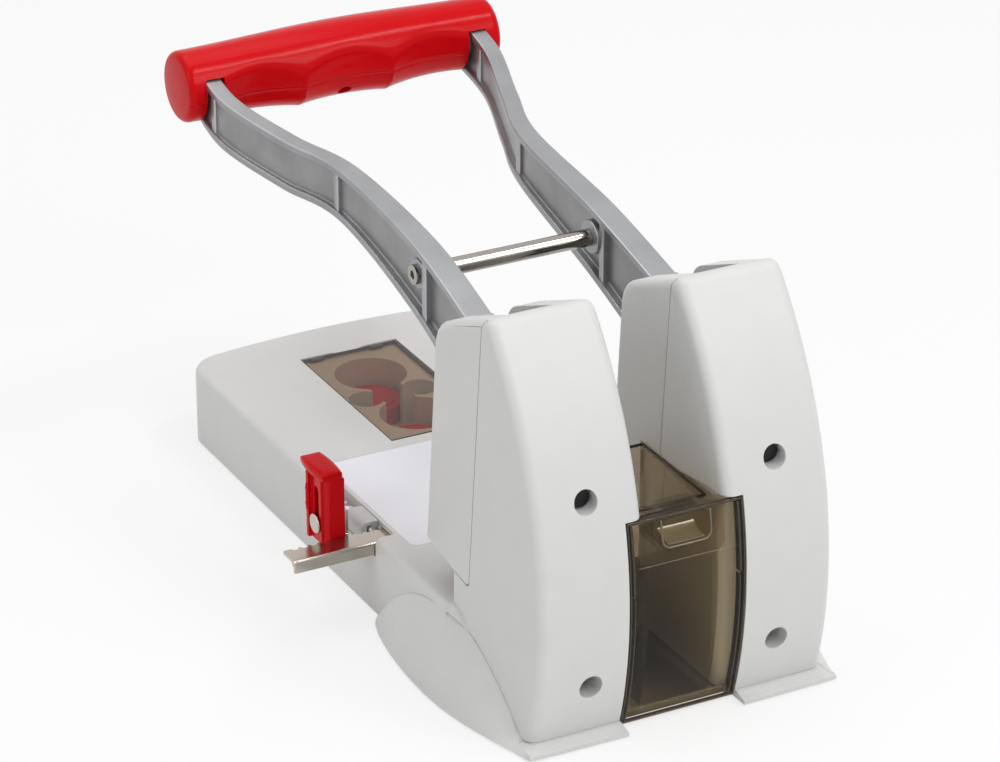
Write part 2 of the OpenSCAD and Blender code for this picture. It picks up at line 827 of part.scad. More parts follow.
// Hollow inside the rear cover, leaving its screw bosses and the wall round the tray
module rear_cavity() {
  notch_half = tray_panel_half + slide_gap - side_x;
  difference() {
    intersection() {
      tower_form(cover_wall, plate_z);
      union() {
        above_ceiling(0);
        block(-far, far, column_y + cover_wall, far, -over, far);
      }
    }
    block(-tower_in, notch_half + tray_notch_wall, tray_panel_y - tray_notch_wall, far,
      -over, tray_panel_z + slide_gap + tray_notch_wall);
    for (z = screw_heights) translate([0, 0, z]) y_shaft(access_r + boss_wall, strap_y1 + seat_gap, bulge_y);
  }
}

module tower_rear_cover() {
  notch_half = tray_panel_half + slide_gap - side_x;
  color(housing_grey) difference() {
    union() {
      intersection() {
        tower_form(0, foot_h);
        behind_seam(seam_gap / 2);
      }
      intersection() {
        tower_form(0, foot_h);
        below_ceiling(seam_gap / 2);
        block(-far, far, column_y, far, -over, far);
      }
    }
    rear_cavity();
    difference() {
      block(-far, notch_half, tray_panel_y, far, -over, tray_panel_z + slide_gap);
      translate([notch_half - slide_gap, tray_flare_y, 0]) cylinder(r = tray_flare - slide_gap, h = far);
    }
    block(-disc_r - over, disc_r + over, -far, column_y + cover_wall + over, -over, deck_z);
    for (z = screw_heights) translate([0, 0, z]) {
      y_shaft(access_r, strap_y1 + seat_gap + boss_floor, far);
      y_shaft(cover_screw_r + 0.2, strap_y1 - over, far);
    }
    arm_slot();
  }
}

module cover_screw_set() {
  head_y0 = strap_y1 + seat_gap + boss_floor;
  head_h = 2.6;
  head_r = 2 * cover_screw_r - 0.2;
  for (z = screw_heights) translate([0, 0, z]) {
    y_shaft(cover_screw_r, strap_y0 - 1, head_y0);
    y_shaft(head_r, head_y0, head_y0 + head_h);
  }
}

module cover_screws() {
  color(black_oxide) {
    at_right() cover_screw_set();
    at_left() cover_screw_set();
  }
}

// C frame: two cheeks, die block, punch guide and rear strap
module cheek_outline() {
  guide_y = punch_y - guide_half;
  eye = pivot_r + 11;
  throat_drop = (frame_throat_y - guide_y) * tan(throat_rise);
  polygon([
    [guide_y, plate_z], [strap_y1, plate_z], [strap_y1, strap_top],
    [strap_y0 - strap_t - hub_clear, pivot_z + eye],
    [pivot_y - eye - pivot_r, pivot_z + eye], [guide_y + 4, pivot_z - eye / 2 + 4], [guide_y, guide_z1],
    [guide_y, guide_z0], [frame_throat_y, guide_z0 - throat_drop], [frame_throat_y, die_top],
    [guide_y, die_top]
  ]);
}

module punch_frame() {
  color(dark_steel) difference() {
    union() {
      for (s = [-1, 1]) translate([s * (cheek_gap + cheek_t) / 2, 0, 0]) along_x(cheek_t) cheek_outline();
      block(-frame_half, frame_half, punch_y - guide_half, frame_throat_y, plate_z, die_top);
      block(-cheek_gap / 2 - over, cheek_gap / 2 + over, punch_y - guide_half, punch_y + guide_half,
        guide_z0, guide_z1);
      block(-cheek_gap / 2 - over, cheek_gap / 2 + over, strap_y0, strap_y1, plate_z, strap_top);
    }
    translate([0, pivot_y, pivot_z]) x_shaft(pivot_r + 0.02, -far, far);
    translate([0, punch_y, guide_z0 - over])
      cylinder(r = punch_r + run_gap, h = 2 * over + guide_z1 - guide_z0);
    translate([0, punch_y, spring_floor_z]) cylinder(r = spring_well_r, h = guide_z1);
    for (z = screw_heights) translate([0, 0, z])
      y_shaft(cover_screw_r + 0.02, strap_y0 - over, strap_y1 + over);
  }
}

module pivot_shaft() {
  color(bright_steel) translate([0, pivot_y, pivot_z]) x_shaft(pivot_r, -frame_half - 0.5, frame_half + 0.5);
}

module cutting_disc() {
  color(signal_red) translate([0, punch_y, die_top]) disc_solid();
}

// Hollow punch: sharpened tube, spring flange, and a stem with a side window for the chips
module hollow_punch() {
  bore_r = punch_r - punch_wall;
  edge_h = 1.5;
  stem_top = ram_top - 1.5;
  color(bright_steel) translate([0, punch_y, 0]) difference() {
    union() {
      translate([0, 0, tip_z + edge_h]) cylinder(r = punch_r, h = flange_z - tip_z);
      translate([0, 0, tip_z]) cylinder(r1 = bore_r + 0.1, r2 = punch_r, h = edge_h);
      translate([0, 0, flange_z]) cylinder(r = flange_r, h = flange_t);
      translate([0, 0, flange_z + flange_t]) cylinder(r = stem_r, h = stem_top - flange_z - flange_t);
    }
    translate([0, 0, tip_z - over]) cylinder(r = bore_r, h = flange_z + 8 - tip_z);
    translate([-stem_r, 0, flange_z + 5.5]) cube([2 * stem_r, 2 * bore_r, 4], center = true);
  }
}

module punch_ram() {
  color(dark_steel) translate([0, punch_y, 0]) difference() {
    translate([0, 0, ram_top - ram_t]) cylinder(r = ram_r, h = ram_t);
    translate([0, 0, ram_top - ram_t - over]) cylinder(r = stem_r + 0.02, h = ram_t + over - 1.5);
  }
}

spring_turns = 5;
spring_wire_r = 0.65;
spring_r = 5.6;

// One unbroken helical wire from z0 to z1
module helix_spring(r, wire_r, turns, z0, z1) {
  rings_per_turn = 8;
  sides = 6;
  count = rings_per_turn * turns;
  skin([
    for (i = [0 : count])
      let (a = 360 * i / rings_per_turn, z = z0 + (z1 - z0) * i / count)
        [for (j = [0 : sides - 1])
          let (b = 360 * j / sides, d = r + wire_r * cos(b))
            [d * cos(a), d * sin(a), z + wire_r * sin(b)]]
  ]);
}

spring_z0 = spring_floor_z + spring_wire_r + 0.05;
spring_z1 = flange_z - spring_wire_r - 0.05;
echo(return_spring_least_gap = (spring_z1 - spring_z0) / spring_turns - 2 * spring_wire_r);

module return_spring() {
  color(bright_steel) translate([0, punch_y, 0])
    helix_spring(spring_r, spring_wire_r, spring_turns, spring_z0, spring_z1);
}

// Lever

// Stations along an arm: [y, x, z, section height, flange width]
bend_mid_y = (bend_front_y + bend_rear_y) / 2;
arm_stations = [
  [grip_y, arm_splay, grip_z - 1.5, arm_h_grip, arm_w_grip],
  [bend_front_y, arm_splay, bend_front_z, arm_h_grip - 0.5, arm_w_grip],
  [bend_mid_y, (arm_splay + arm_x_rod) / 2 + 0.6, (bend_front_z + bend_rear_z) / 2 - 1.5,
    arm_h_grip - 0.5, arm_w_grip + 0.5],
  [bend_rear_y, arm_x_rod + 1.4, bend_rear_z, arm_h_grip, arm_w_grip + 1.3],
  [rod_y, arm_x_rod, rod_z - 2, arm_h_rod, arm_w_tower - 1.4],
  [mouth_y, side_x, mouth_z, arm_h_tower, arm_w_tower - 0.8]
];

// Smooth curve through the stations, u from 0 to the last index
function arm_at(u) =
  let (
    n = len(arm_stations) - 1,
    i = min(floor(u), n - 1),
    t = u - i,
    a = arm_stations[max(i - 1, 0)],
    b = arm_stations[i],
    c = arm_stations[i + 1],
    d = arm_stations[min(i + 2, n)]
  )
  b + t * ((c - a) / 2 + t * (a - 2.5 * b + 2 * c - d / 2 + t * (3 * (b - c) + d - a) / 2));

// I section of an arm at a station
function arm_ring(s) =
  let (w = s[4] / 2, h = s[3] / 2, web = arm_web_t / 2, f = h - arm_flange_t)
  [for (p = [[-w, h], [w, h], [w, f], [web, f], [web, -f], [w, -f],
             [w, -h], [-w, -h], [-w, -f], [-web, -f], [-web, f], [-w, f]])
    [s[1] - p[0], s[0], s[2] + p[1]]];

// End faces of an arm: the two flanges and the web
arm_caps = [
  [0, 1, 2], [0, 2, 3], [0, 3, 10], [0, 10, 11], [10, 3, 4], [10, 4, 9],
  [6, 7, 8], [6, 8, 9], [6, 9, 4], [6, 4, 5]
];

// Upright rib between the flanges
module arm_rib(u) {
  s = arm_at(u);
  rib_t = 2.4;
  translate([s[1], s[0], s[2]]) cube([s[4] - 0.6, rib_t, s[3] - arm_flange_t], center = true);
}

// Solid root of an arm inside the tower, about the pivot
module arm_root_outline() {
  top_z = mouth_z + arm_h_tower / 2;
  low_z = mouth_z - arm_h_tower / 2;
  polygon([
    [mouth_y - 1.5, top_z + 0.9], [mouth_y - 1.5, low_z - 0.4], [punch_y + 14, low_z - 3.5],
    [pivot_y - 4, pivot_z - hub_r + 0.75], [pivot_y + 4, pivot_z + hub_r - 0.75], [punch_y + 20, mouth_z + 10]
  ]);
  translate([pivot_y, pivot_z]) circle(hub_r);
}

module lever_arm() {
  steps = 30;
  last = len(arm_stations) - 1;
  color(cast_silver) difference() {
    union() {
      skin([for (i = [0 : steps]) arm_ring(arm_at(last * i / steps))], arm_caps);
      for (u = [0.72, 2.9, 4.22]) arm_rib(u);
      translate([arm_splay, grip_y, grip_z]) x_shaft(arm_end_r, -arm_end_half, arm_end_half);
      translate([arm_x_rod, rod_y, rod_z]) {
        x_shaft(rod_boss_r, -arm_w_tower / 2 + 0.4, 0);
        x_shaft(rod_boss_r - 0.8, 0, rod_seat);
      }
      translate([side_x, 0, 0]) {
        along_x(arm_w_tower) arm_root_outline();
        translate([0, pivot_y, pivot_z]) x_shaft(hub_r - 2, -hub_half, hub_half);
        translate([0, punch_y, roller_z])
          x_shaft(roller_r - 0.5, -arm_w_tower / 2 - 0.4, arm_w_tower / 2 + 0.4);
      }
    }
    translate([arm_splay, grip_y, grip_z]) x_shaft(core_r + 0.02, -arm_w_grip, arm_w_grip);
    translate([arm_x_rod, rod_y, rod_z]) x_shaft(rod_screw_r + 0.05, -arm_w_tower, arm_w_tower);
    translate([side_x, pivot_y, pivot_z]) x_shaft(pivot_r + run_gap, -far, far);
    translate([side_x, punch_y, roller_z]) {
      x_shaft(roller_pin_r + 0.02, -arm_w_tower, arm_w_tower);
      x_shaft(roller_r + 1, -roller_w / 2 - slide_gap, roller_w / 2 + slide_gap);
      block(-roller_w / 2 - slide_gap, roller_w / 2 + slide_gap, -roller_r - 1, roller_r + 1, -far, 0);
    }
  }
}

module press_roller() {
  color(bright_steel) translate([side_x, punch_y, roller_z]) difference() {
    x_shaft(roller_r, -roller_w / 2, roller_w / 2);
    x_shaft(roller_pin_r + run_gap, -roller_w, roller_w);
  }
}

module roller_pin() {
  color(bright_steel) translate([side_x, punch_y, roller_z])
    x_shaft(roller_pin_r, -arm_w_tower / 2, arm_w_tower / 2);
}

rod_screw_r = 2.4;
rod_half = arm_x_rod - arm_w_tower / 2 + 0.4;
rod_seat = arm_web_t / 2 + 1.9;

module tie_rod() {
  depth = 14;
  color(bright_steel) translate([0, rod_y, rod_z]) difference() {
    x_shaft(rod_r, -rod_half, rod_half);
    x_shaft(rod_screw_r + 0.02, rod_half - depth, far);
    x_shaft(rod_screw_r + 0.02, -far, depth - rod_half);
  }
}

module tie_rod_screw() {
  seat_x = arm_x_rod + rod_seat;
  head_r = rod_screw_r + 1.6;
  head_h = 2;
  socket_r = 1.9;
  difference() {
    union() {
      x_shaft(rod_screw_r, rod_half - 12, seat_x);
      x_shaft(head_r, seat_x, seat_x + head_h);
    }
    translate([seat_x + 0.4, 0, 0]) rotate([0, 90, 0]) cylinder(r = socket_r, h = head_h, $fn = 6);
  }
}

module tie_rod_screws() {
  color(bright_steel) translate([0, rod_y, rod_z]) {
    tie_rod_screw();
    mirror([1, 0, 0]) tie_rod_screw();
  }
}

// Radius of the grip at x, before the finger scallops
function grip_r(x) =
  let (
    end_l = 9,
    u = max(0, abs(x) - grip_half + end_l) / end_l,
    r = grip_r_end + (grip_r_mid - grip_r_end) * (1 + cos(180 * x / grip_half)) / 2
  )
  r - 5.5 * (1 - sqrt(max(0, 1 - u * u)));

// How far a finger scallop draws the grip in at x
function scallop_at(x) =
  abs(x) < 1.5 * scallop_pitch ? scallop * abs(cos(180 * x / scallop_pitch)) : 0;

function grip_ring(x) =
  let (sides = 24)
  [for (j = [0 : sides - 1])
    let (
      a = -360 * j / sides,
      under = max(0, cos(a + 60)),
      r = grip_r(x) - scallop_at(x) * under * under
    )
    [x, grip_y + r * cos(a), grip_z + r * sin(a)]];

module grip_form() {
  steps = 36;
  skin([for (i = [0 : steps]) grip_ring(grip_half * sin(90 * (2 * i / steps - 1)))]);
}

// Room inside the grip for the core bar and the ends of the arms
module grip_cuts() {
  half = arm_end_half + slide_gap;
  translate([0, grip_y, grip_z]) x_shaft(core_r + 0.02, -arm_splay - arm_w_grip, arm_splay + arm_w_grip);
  for (s = [-1, 1]) translate([s * arm_splay, 0, 0]) {
    block(-half, half, grip_y - 0.5, bend_front_y + over,
      grip_z - arm_h_grip / 2 - 3.5, grip_z + arm_h_grip / 2);
    translate([0, grip_y, grip_z]) x_shaft(arm_end_r + slide_gap, -half, half);
  }
  grip_screw_place() {
    translate([0, 0, -grip_r_mid - over])
      cylinder(r = grip_screw_head_r + 0.2, h = grip_r_mid + over - grip_screw_seat);
    translate([0, 0, -grip_r_mid]) cylinder(r = grip_screw_r + 0.02, h = grip_r_mid + grip_screw_reach + 0.5);
  }
}

// The grip's screw goes in from below, slanting back
module grip_screw_place() {
  slant = 40;
  translate([0, grip_y, grip_z]) rotate([slant, 0, 0]) children();
}

parting_tilt = 1.5;
parting_gap = 0.1;

// Half space above (1) or below (-1) the grip's parting plane
module parting_side(s) {
  translate([0, grip_y, grip_z]) rotate([-parting_tilt, 0, 0])
    translate([-far / 2, -far / 2, s > 0 ? parting_gap / 2 : -far - parting_gap / 2]) cube(far);
}

module grip_upper() {
  color(signal_red) difference() {
    intersection() {
      grip_form();
      parting_side(1);
    }
    grip_cuts();
  }
}

module grip_lower() {
  color(signal_red) difference() {
    intersection() {
      grip_form();
      parting_side(-1);
    }
    grip_cuts();
  }
}

module grip_core() {
  color(dark_steel) difference() {
    translate([0, grip_y, grip_z]) x_shaft(core_r, -arm_splay - arm_w_grip / 2, arm_splay + arm_w_grip / 2);
    grip_screw_place() cylinder(r = grip_screw_r + 0.1, h = 4 * core_r, center = true);
  }
}

grip_screw_r = 1.4;
grip_screw_head_r = 2.8;
grip_screw_seat = 9;
grip_screw_reach = 10;

module grip_screw() {
  head_h = 2;
  color(black_oxide) grip_screw_place() {
    translate([0, 0, -grip_screw_seat - head_h]) cylinder(r = grip_screw_head_r, h = head_h);
    translate([0, 0, -grip_screw_seat]) cylinder(r = grip_screw_r, h = grip_screw_seat + grip_screw_reach);
  }
}

// Chip tray

// Solid within the towers' rear arc, drawn in by inset
module arc_solid(inset) {
  translate([-far, arc_y, bulge_z]) rotate([0, 90, 0]) cylinder(r = rear_r - inset, h = 2 * far, $fn = 160);
}

// Curved strip on the rear arc, from depth in to its outer face
module arc_panel(half, depth_in, z0, z1) {
  difference() {
    intersection() {
      block(-half, half, column_y, far, z0, z1);
      arc_solid(0);
    }
    arc_solid(depth_in);
  }
}

// Extrudes an (x, z) outline along Y, from y0 to y1
module along_y(y0, y1) {
  translate([0, y1, 0]) rotate([90, 0, 0]) linear_extrude(height = y1 - y0) children();
}

// Section of the tray: a narrow box below the ledge, a wider mouth above it
module tray_section(inset, floor_z, top_z) {
  low = tray_half - tray_step - inset;
  high = tray_half - inset;
  polygon([
    [-low, floor_z], [low, floor_z], [low, tray_ledge_z - tray_step], [high, tray_ledge_z], [high, top_z],
    [-high, top_z], [-high, tray_ledge_z], [-low, tray_ledge_z - tray_step]
  ]);
}

// Plan of the tray's top, flared out to the panel behind the towers
module tray_top_plan() {
  difference() {
    union() {
      translate([-tray_half, tray_front_y]) square([2 * tray_half, far]);
      translate([-tray_panel_half, tray_flare_y]) square([2 * tray_panel_half, far]);
    }
    for (s = [-1, 1]) translate([s * tray_panel_half, tray_flare_y]) circle(tray_flare);
  }
}

// Top of the tray, level round the mouth and rising to the panel
module tray_top() {
  level_y = tray_panel_y - 1;
  rise_y = tray_panel_y + 8;
  intersection() {
    linear_extrude(height = far) tray_top_plan();
    along_x(2 * tray_panel_half) polygon([
      [tray_front_y, tray_rim_z - tray_wall], [level_y, tray_rim_z - tray_wall],
      [rise_y, tray_panel_z - tray_wall], [far, tray_panel_z - tray_wall],
      [far, tray_panel_z], [rise_y, tray_panel_z],
      [level_y, tray_rim_z], [tray_front_y, tray_rim_z]
    ]);
    arc_solid(0);
  }
}

// Mouth of the tray, a little narrower at the rear
module tray_mouth() {
  front_half = tray_half - 3;
  rear_half = tray_half - 6;
  rear_y = tray_panel_y - 4;
  translate([0, 0, tray_ledge_z]) linear_extrude(height = far) polygon([
    [-front_half, 0], [front_half, 0], [front_half, tray_front_y], [rear_half, rear_y],
    [-rear_half, rear_y], [-front_half, tray_front_y]
  ]);
}

// Finger cup set into the panel, below its top bar
module tray_cup(grow) {
  r = 4;
  half = cup_w / 2 + grow;
  top_z = tray_panel_z - tray_wall;
  along_y(bulge_y - cup_d - grow, far) round_rect(-half, half, top_z - cup_h - grow, top_z + grow, r + grow);
}

module chip_tray() {
  t = tray_wall;
  rim_w = 2.8;
  rim_d = 3.4;
  low_z = rim_z + 0.3;
  color(smoke_brown) difference() {
    union() {
      difference() {
        intersection() {
          along_y(tray_front_y, far) tray_section(0, tray_floor_z, tray_rim_z);
          arc_solid(t / 2);
        }
        along_y(tray_front_y + t, far) tray_section(t, tray_floor_z + t, tray_rim_z + over);
        block(-tray_half + t, tray_half - t, 0, tray_front_y + over, tray_ledge_z, far);
      }
      difference() {
        tray_top();
        tray_mouth();
      }
      arc_panel(tray_panel_half, t + 0.4, low_z, tray_panel_z);
      for (s = [-1, 1]) translate([s * (tray_panel_half - rim_w / 2), 0, 0])
        arc_panel(rim_w / 2, rim_d, low_z, tray_panel_z);
      intersection() {
        tray_cup(t);
        arc_solid(0);
        block(-far, far, 0, far, 0, tray_panel_z);
      }
    }
    tray_cup(0);
  }
}

// Paper stop

// Light grey guide: a channel under the table and a block beside the rail in the notch
module rail_guide() {
  join = 0.5;
  x0 = notch_x + seat_gap;
  x1 = base_half - 0.6;
  y1 = rail_y0 - 2.6;
  z0 = notch_z + seat_gap;
  top = deck_z - 0.2;
  r = 3;
  color(part_grey) difference() {
    union() {
      block(guide_x0, notch_x + join, guide_y0, guide_y1, guide_low, deck_low);
      along_y(guide_y0, y1) {
        translate([x0, z0]) square([x1 - x0, top - r - z0]);
        translate([x0, z0]) square([x1 - r - x0, top - z0]);
        translate([x1 - r, top - r]) circle(r);
      }
    }
    block(-far, far, rail_y0 - slide_gap, rail_y1 + slide_gap, rail_z - rail_h - slide_gap, far);
    for (slot = [[detent_half, detent_straight_y], [detent_t, rail_y0]])
      block(detent_x - slot[0] - slide_gap, detent_x + slot[0] + slide_gap, -far, slot[1],
        rail_z - detent_h - slide_gap, rail_z + slide_gap);
  }
}

// Wavy leaf spring that bears on the rail's notched edge
module detent_spring() {
  leaf_t = detent_t;
  y0 = notch_y0 + 0.3;
  y1 = rail_y0 - 0.4;
  wave = detent_half - leaf_t;
  steps = 64;
  ys = [for (i = [0 : steps]) y0 + (y1 - y0) * i / steps];
  function leaf_x(y) = detent_x +
    (y < detent_straight_y ? wave * sin(360 * (y - detent_straight_y) / detent_wave_l) : 0);
  color(bright_steel) translate([0, 0, rail_z - detent_h]) linear_extrude(height = detent_h)
    polygon(concat(
      [for (y = ys) [leaf_x(y) - leaf_t, y]],
      [for (i = [steps : -1 : 0]) [leaf_x(ys[i]) + leaf_t, ys[i]]]
    ));
}

module stop_rail() {
  notch_r = 1.3;
  bend_r = 1.5;
  ear_y0 = flag_y0 + 1.5;
  ear_top = rivet_z + rivet_head_r + 2;
  color(bright_steel) difference() {
    union() {
      block(rail_x0, rail_x1, rail_y0, rail_y1 - bend_r, rail_z - rail_t, rail_z);
      block(rail_x0, rail_x1, rail_y1 - rail_t, rail_y1, rail_z - rail_h, rail_z - bend_r);
      translate([0, rail_y1 - bend_r, rail_z - bend_r]) x_shaft(bend_r, rail_x0, rail_x1);
      block(ear_x, ear_x + ear_t, ear_y0, rail_y0 + over, rail_z - rail_t, rail_z);
      block(ear_x, ear_x + ear_t, ear_y0, flag_y1 - 1, rail_z - rail_t, ear_top);
    }
    for (x = [rail_x0 + 10 : notch_pitch : ear_x - 4])
      translate([x, rail_y0, 0]) cylinder(r = notch_r, h = far);
    for (x = [rail_x1 - 5 : -notch_pitch : flag_x + 4])
      translate([x, rail_y0, 0]) cylinder(r = notch_r, h = far);
    translate([0, rivet_y, rivet_z]) x_shaft(rivet_r + 0.02, ear_x - over, ear_x + ear_t + over);
  }
}

// Red flag: stem with a bevelled rear edge, rivet groove and slot, and a curved cap
module stop_flag() {
  x0 = flag_x;
  x1 = flag_x + flag_t;
  cap_t = 4;
  bevel = 4;
  groove_w = 2 * rivet_head_r + 0.8;
  slot_top = rivet_z + flag_travel;
  color(signal_red) difference() {
    union() {
      translate([0, 0, flag_low]) linear_extrude(height = flag_z - flag_low) polygon([
        [x0, flag_y0], [x1, flag_y0], [x1, flag_y1 - bevel], [x1 - bevel, flag_y1], [x0, flag_y1]
      ]);
      intersection() {
        translate([(x0 + x1) / 2, 0, 0]) along_x(flag_t) polygon([
          [flag_y0 - flag_cap_out, flag_z], [flag_y0 - flag_cap_out, flag_z - cap_t / 2],
          [flag_y0 + 1, flag_z - cap_t - flag_cap_out / 2], [flag_y1, flag_z - cap_t], [flag_y1, flag_z]
        ]);
        translate([x0 - 9, (flag_y0 + flag_y1 - flag_cap_out) / 2, 0]) cylinder(r = flag_t + 9.4, h = far);
      }
    }
    translate([0, rivet_y, 0])
      block(groove_x, far, -groove_w / 2, groove_w / 2, -far, slot_top + rivet_head_r + 0.6);
    hull_slot(rivet_z - slide_gap, slot_top + slide_gap);
  }
}

// Slot with round ends for the rivet, through the flag
module hull_slot(z0, z1) {
  r = rivet_r + 0.2;
  translate([0, rivet_y, 0]) {
    for (z = [z0, z1]) translate([0, 0, z]) x_shaft(r, flag_x - over, flag_x + flag_t + over);
    block(flag_x - over, flag_x + flag_t + over, -r, r, z0, z1);
  }
}

module flag_rivet() {
  head_x = groove_x + slide_gap;
  head_t = 1;
  color(bright_steel) translate([0, rivet_y, rivet_z]) {
    x_shaft(rivet_r, ear_x, head_x);
    x_shaft(rivet_head_r, head_x, head_x + head_t);
  }
}

base_shell();
base_plate();
anti_slip_mat();
base_screws();
table_plate();
storage_lid();
spare_cutting_discs();
at_left() tower_rear_cover();  // tower_rear_cover_left
at_right() tower_rear_cover();  // tower_rear_cover_right
at_left() tower_front_cover();  // tower_front_cover_left
at_right() tower_front_cover();  // tower_front_cover_right
cover_screws();
at_left() punch_frame();  // punch_frame_left
at_right() punch_frame();  // punch_frame_right
at_left() pivot_shaft();  // pivot_shaft_left
at_right() pivot_shaft();  // pivot_shaft_right
at_left() cutting_disc();  // cutting_disc_left
at_right() cutting_disc();  // cutting_disc_right
at_left() hollow_punch();  // hollow_punch_left
at_right() hollow_punch();  // hollow_punch_right
at_left() punch_ram();  // punch_ram_left
at_right() punch_ram();  // punch_ram_right
at_left() return_spring();  // return_spring_left
at_right() return_spring();  // return_spring_right
mirror([1, 0, 0]) lever_arm();  // lever_arm_left
lever_arm();  // lever_arm_right
mirror([1, 0, 0]) press_roller();  // press_roller_left
press_roller();  // press_roller_right
mirror([1, 0, 0]) roller_pin();  // roller_pin_left
roller_pin();  // roller_pin_right
tie_rod();
tie_rod_screws();
grip_upper();
grip_lower();
grip_core();
grip_screw();
chip_tray();
rail_guide();
detent_spring();
stop_rail();
stop_flag();
flag_rivet();
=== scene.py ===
# %% [markdown]
# # A heavy duty hole punch, dressed in Blender
# The solids of the punch come from CAD, so their places are already right. This lesson
# loads them as a fixed frame, then gives each piece the surface and the small forms that
# a camera sees: grain, gloss, soft edges, clear plastic and plated metal.

# %% Load the solids and keep their box
import bpy
import bmesh
import math
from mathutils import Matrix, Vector


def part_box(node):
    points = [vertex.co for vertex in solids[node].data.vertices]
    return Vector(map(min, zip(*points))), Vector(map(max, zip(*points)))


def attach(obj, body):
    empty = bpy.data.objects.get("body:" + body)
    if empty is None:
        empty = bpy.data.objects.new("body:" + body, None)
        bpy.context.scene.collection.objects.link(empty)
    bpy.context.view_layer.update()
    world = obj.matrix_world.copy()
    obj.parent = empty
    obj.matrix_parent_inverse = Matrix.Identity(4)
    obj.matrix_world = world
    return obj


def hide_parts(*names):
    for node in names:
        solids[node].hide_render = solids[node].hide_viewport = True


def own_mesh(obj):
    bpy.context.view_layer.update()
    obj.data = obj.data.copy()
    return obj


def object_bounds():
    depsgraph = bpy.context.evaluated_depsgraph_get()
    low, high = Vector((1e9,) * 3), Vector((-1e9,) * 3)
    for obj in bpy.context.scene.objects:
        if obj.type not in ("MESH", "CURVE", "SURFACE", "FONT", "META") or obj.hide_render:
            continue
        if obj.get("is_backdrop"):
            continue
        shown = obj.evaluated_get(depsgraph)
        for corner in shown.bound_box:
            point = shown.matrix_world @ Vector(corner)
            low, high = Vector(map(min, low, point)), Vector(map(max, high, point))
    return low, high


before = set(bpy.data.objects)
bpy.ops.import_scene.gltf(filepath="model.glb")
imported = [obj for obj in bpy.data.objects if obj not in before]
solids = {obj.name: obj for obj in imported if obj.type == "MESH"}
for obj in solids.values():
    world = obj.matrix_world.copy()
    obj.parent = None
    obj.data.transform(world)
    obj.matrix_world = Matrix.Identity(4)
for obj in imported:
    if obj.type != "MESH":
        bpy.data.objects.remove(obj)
cad_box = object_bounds()

# %% [markdown]
# ## Camera
# The photograph was taken from behind and above with a long lens. Its place was worked
# out from the 80 mm hole spacing and the towers' straight edges. A long lens far away
# keeps the towers' sides almost parallel, so the lens matters as much as the place.

# %% Place the camera
MM = 0.001
PHOTO_WIDTH = 1000.0
FOCAL_PIXELS = 4108.6
CAMERA_PLACE = Vector((685.06, 1306.25, 784.07))
LOOKS_DOWN, LOOKS_ROUND = 25.62, 152.26

lens = bpy.data.cameras.new("long_lens")
lens.sensor_fit = "HORIZONTAL"
lens.sensor_width = 36.0
lens.lens = FOCAL_PIXELS * 36.0 / PHOTO_WIDTH
lens.clip_end = 20.0
camera = bpy.data.objects.new("camera", lens)
camera.location = CAMERA_PLACE * MM
camera.rotation_euler = (math.radians(90 - LOOKS_DOWN), 0, math.radians(LOOKS_ROUND))
bpy.context.scene.collection.objects.link(camera)
bpy.context.scene.camera = camera
print("camera at", [round(c, 3) for c in camera.location], "lens", round(lens.lens, 1))

# %% [markdown]
# ## Studio
# The real picture is a cut-out on white. Here a pale floor keeps a soft shadow, and the
# world is white only for rays that look at it, so the light on the punch stays plain.
# Large soft lamps stand above the camera, to its left, and on the far side, and a narrow
# strip draws the long highlight on the grip.

# %% World, floor and lamps
scene = bpy.context.scene
scene.view_settings.view_transform = "Standard"


def looks_at_background(tree):
    """A value that is 1 for rays that should see plain white: camera, mirror and clear plastic."""
    path = tree.nodes.new("ShaderNodeLightPath")
    first = tree.nodes.new("ShaderNodeMath")
    first.operation = "MAXIMUM"
    second = tree.nodes.new("ShaderNodeMath")
    second.operation = "MAXIMUM"
    tree.links.new(path.outputs["Is Camera Ray"], first.inputs[0])
    tree.links.new(path.outputs["Is Glossy Ray"], first.inputs[1])
    tree.links.new(first.outputs[0], second.inputs[0])
    tree.links.new(path.outputs["Is Transmission Ray"], second.inputs[1])
    return second.outputs[0]


def light_world(ambient):
    """A world that looks white but lights the punch only by the ambient strength."""
    world = bpy.data.worlds.new("studio_white")
    scene.world = world
    world.use_nodes = True
    tree = world.node_tree
    tree.nodes.clear()
    seen = tree.nodes.new("ShaderNodeBackground")
    seen.inputs["Color"].default_value = (1, 1, 1, 1)
    seen.inputs["Strength"].default_value = 1.0
    soft = tree.nodes.new("ShaderNodeBackground")
    soft.inputs["Color"].default_value = (0.98, 0.99, 1, 1)
    soft.inputs["Strength"].default_value = ambient
    mix = tree.nodes.new("ShaderNodeMixShader")
    out = tree.nodes.new("ShaderNodeOutputWorld")
    tree.links.new(looks_at_background(tree), mix.inputs[0])
    tree.links.new(soft.outputs[0], mix.inputs[1])
    tree.links.new(seen.outputs[0], mix.inputs[2])
    tree.links.new(mix.outputs[0], out.inputs[0])


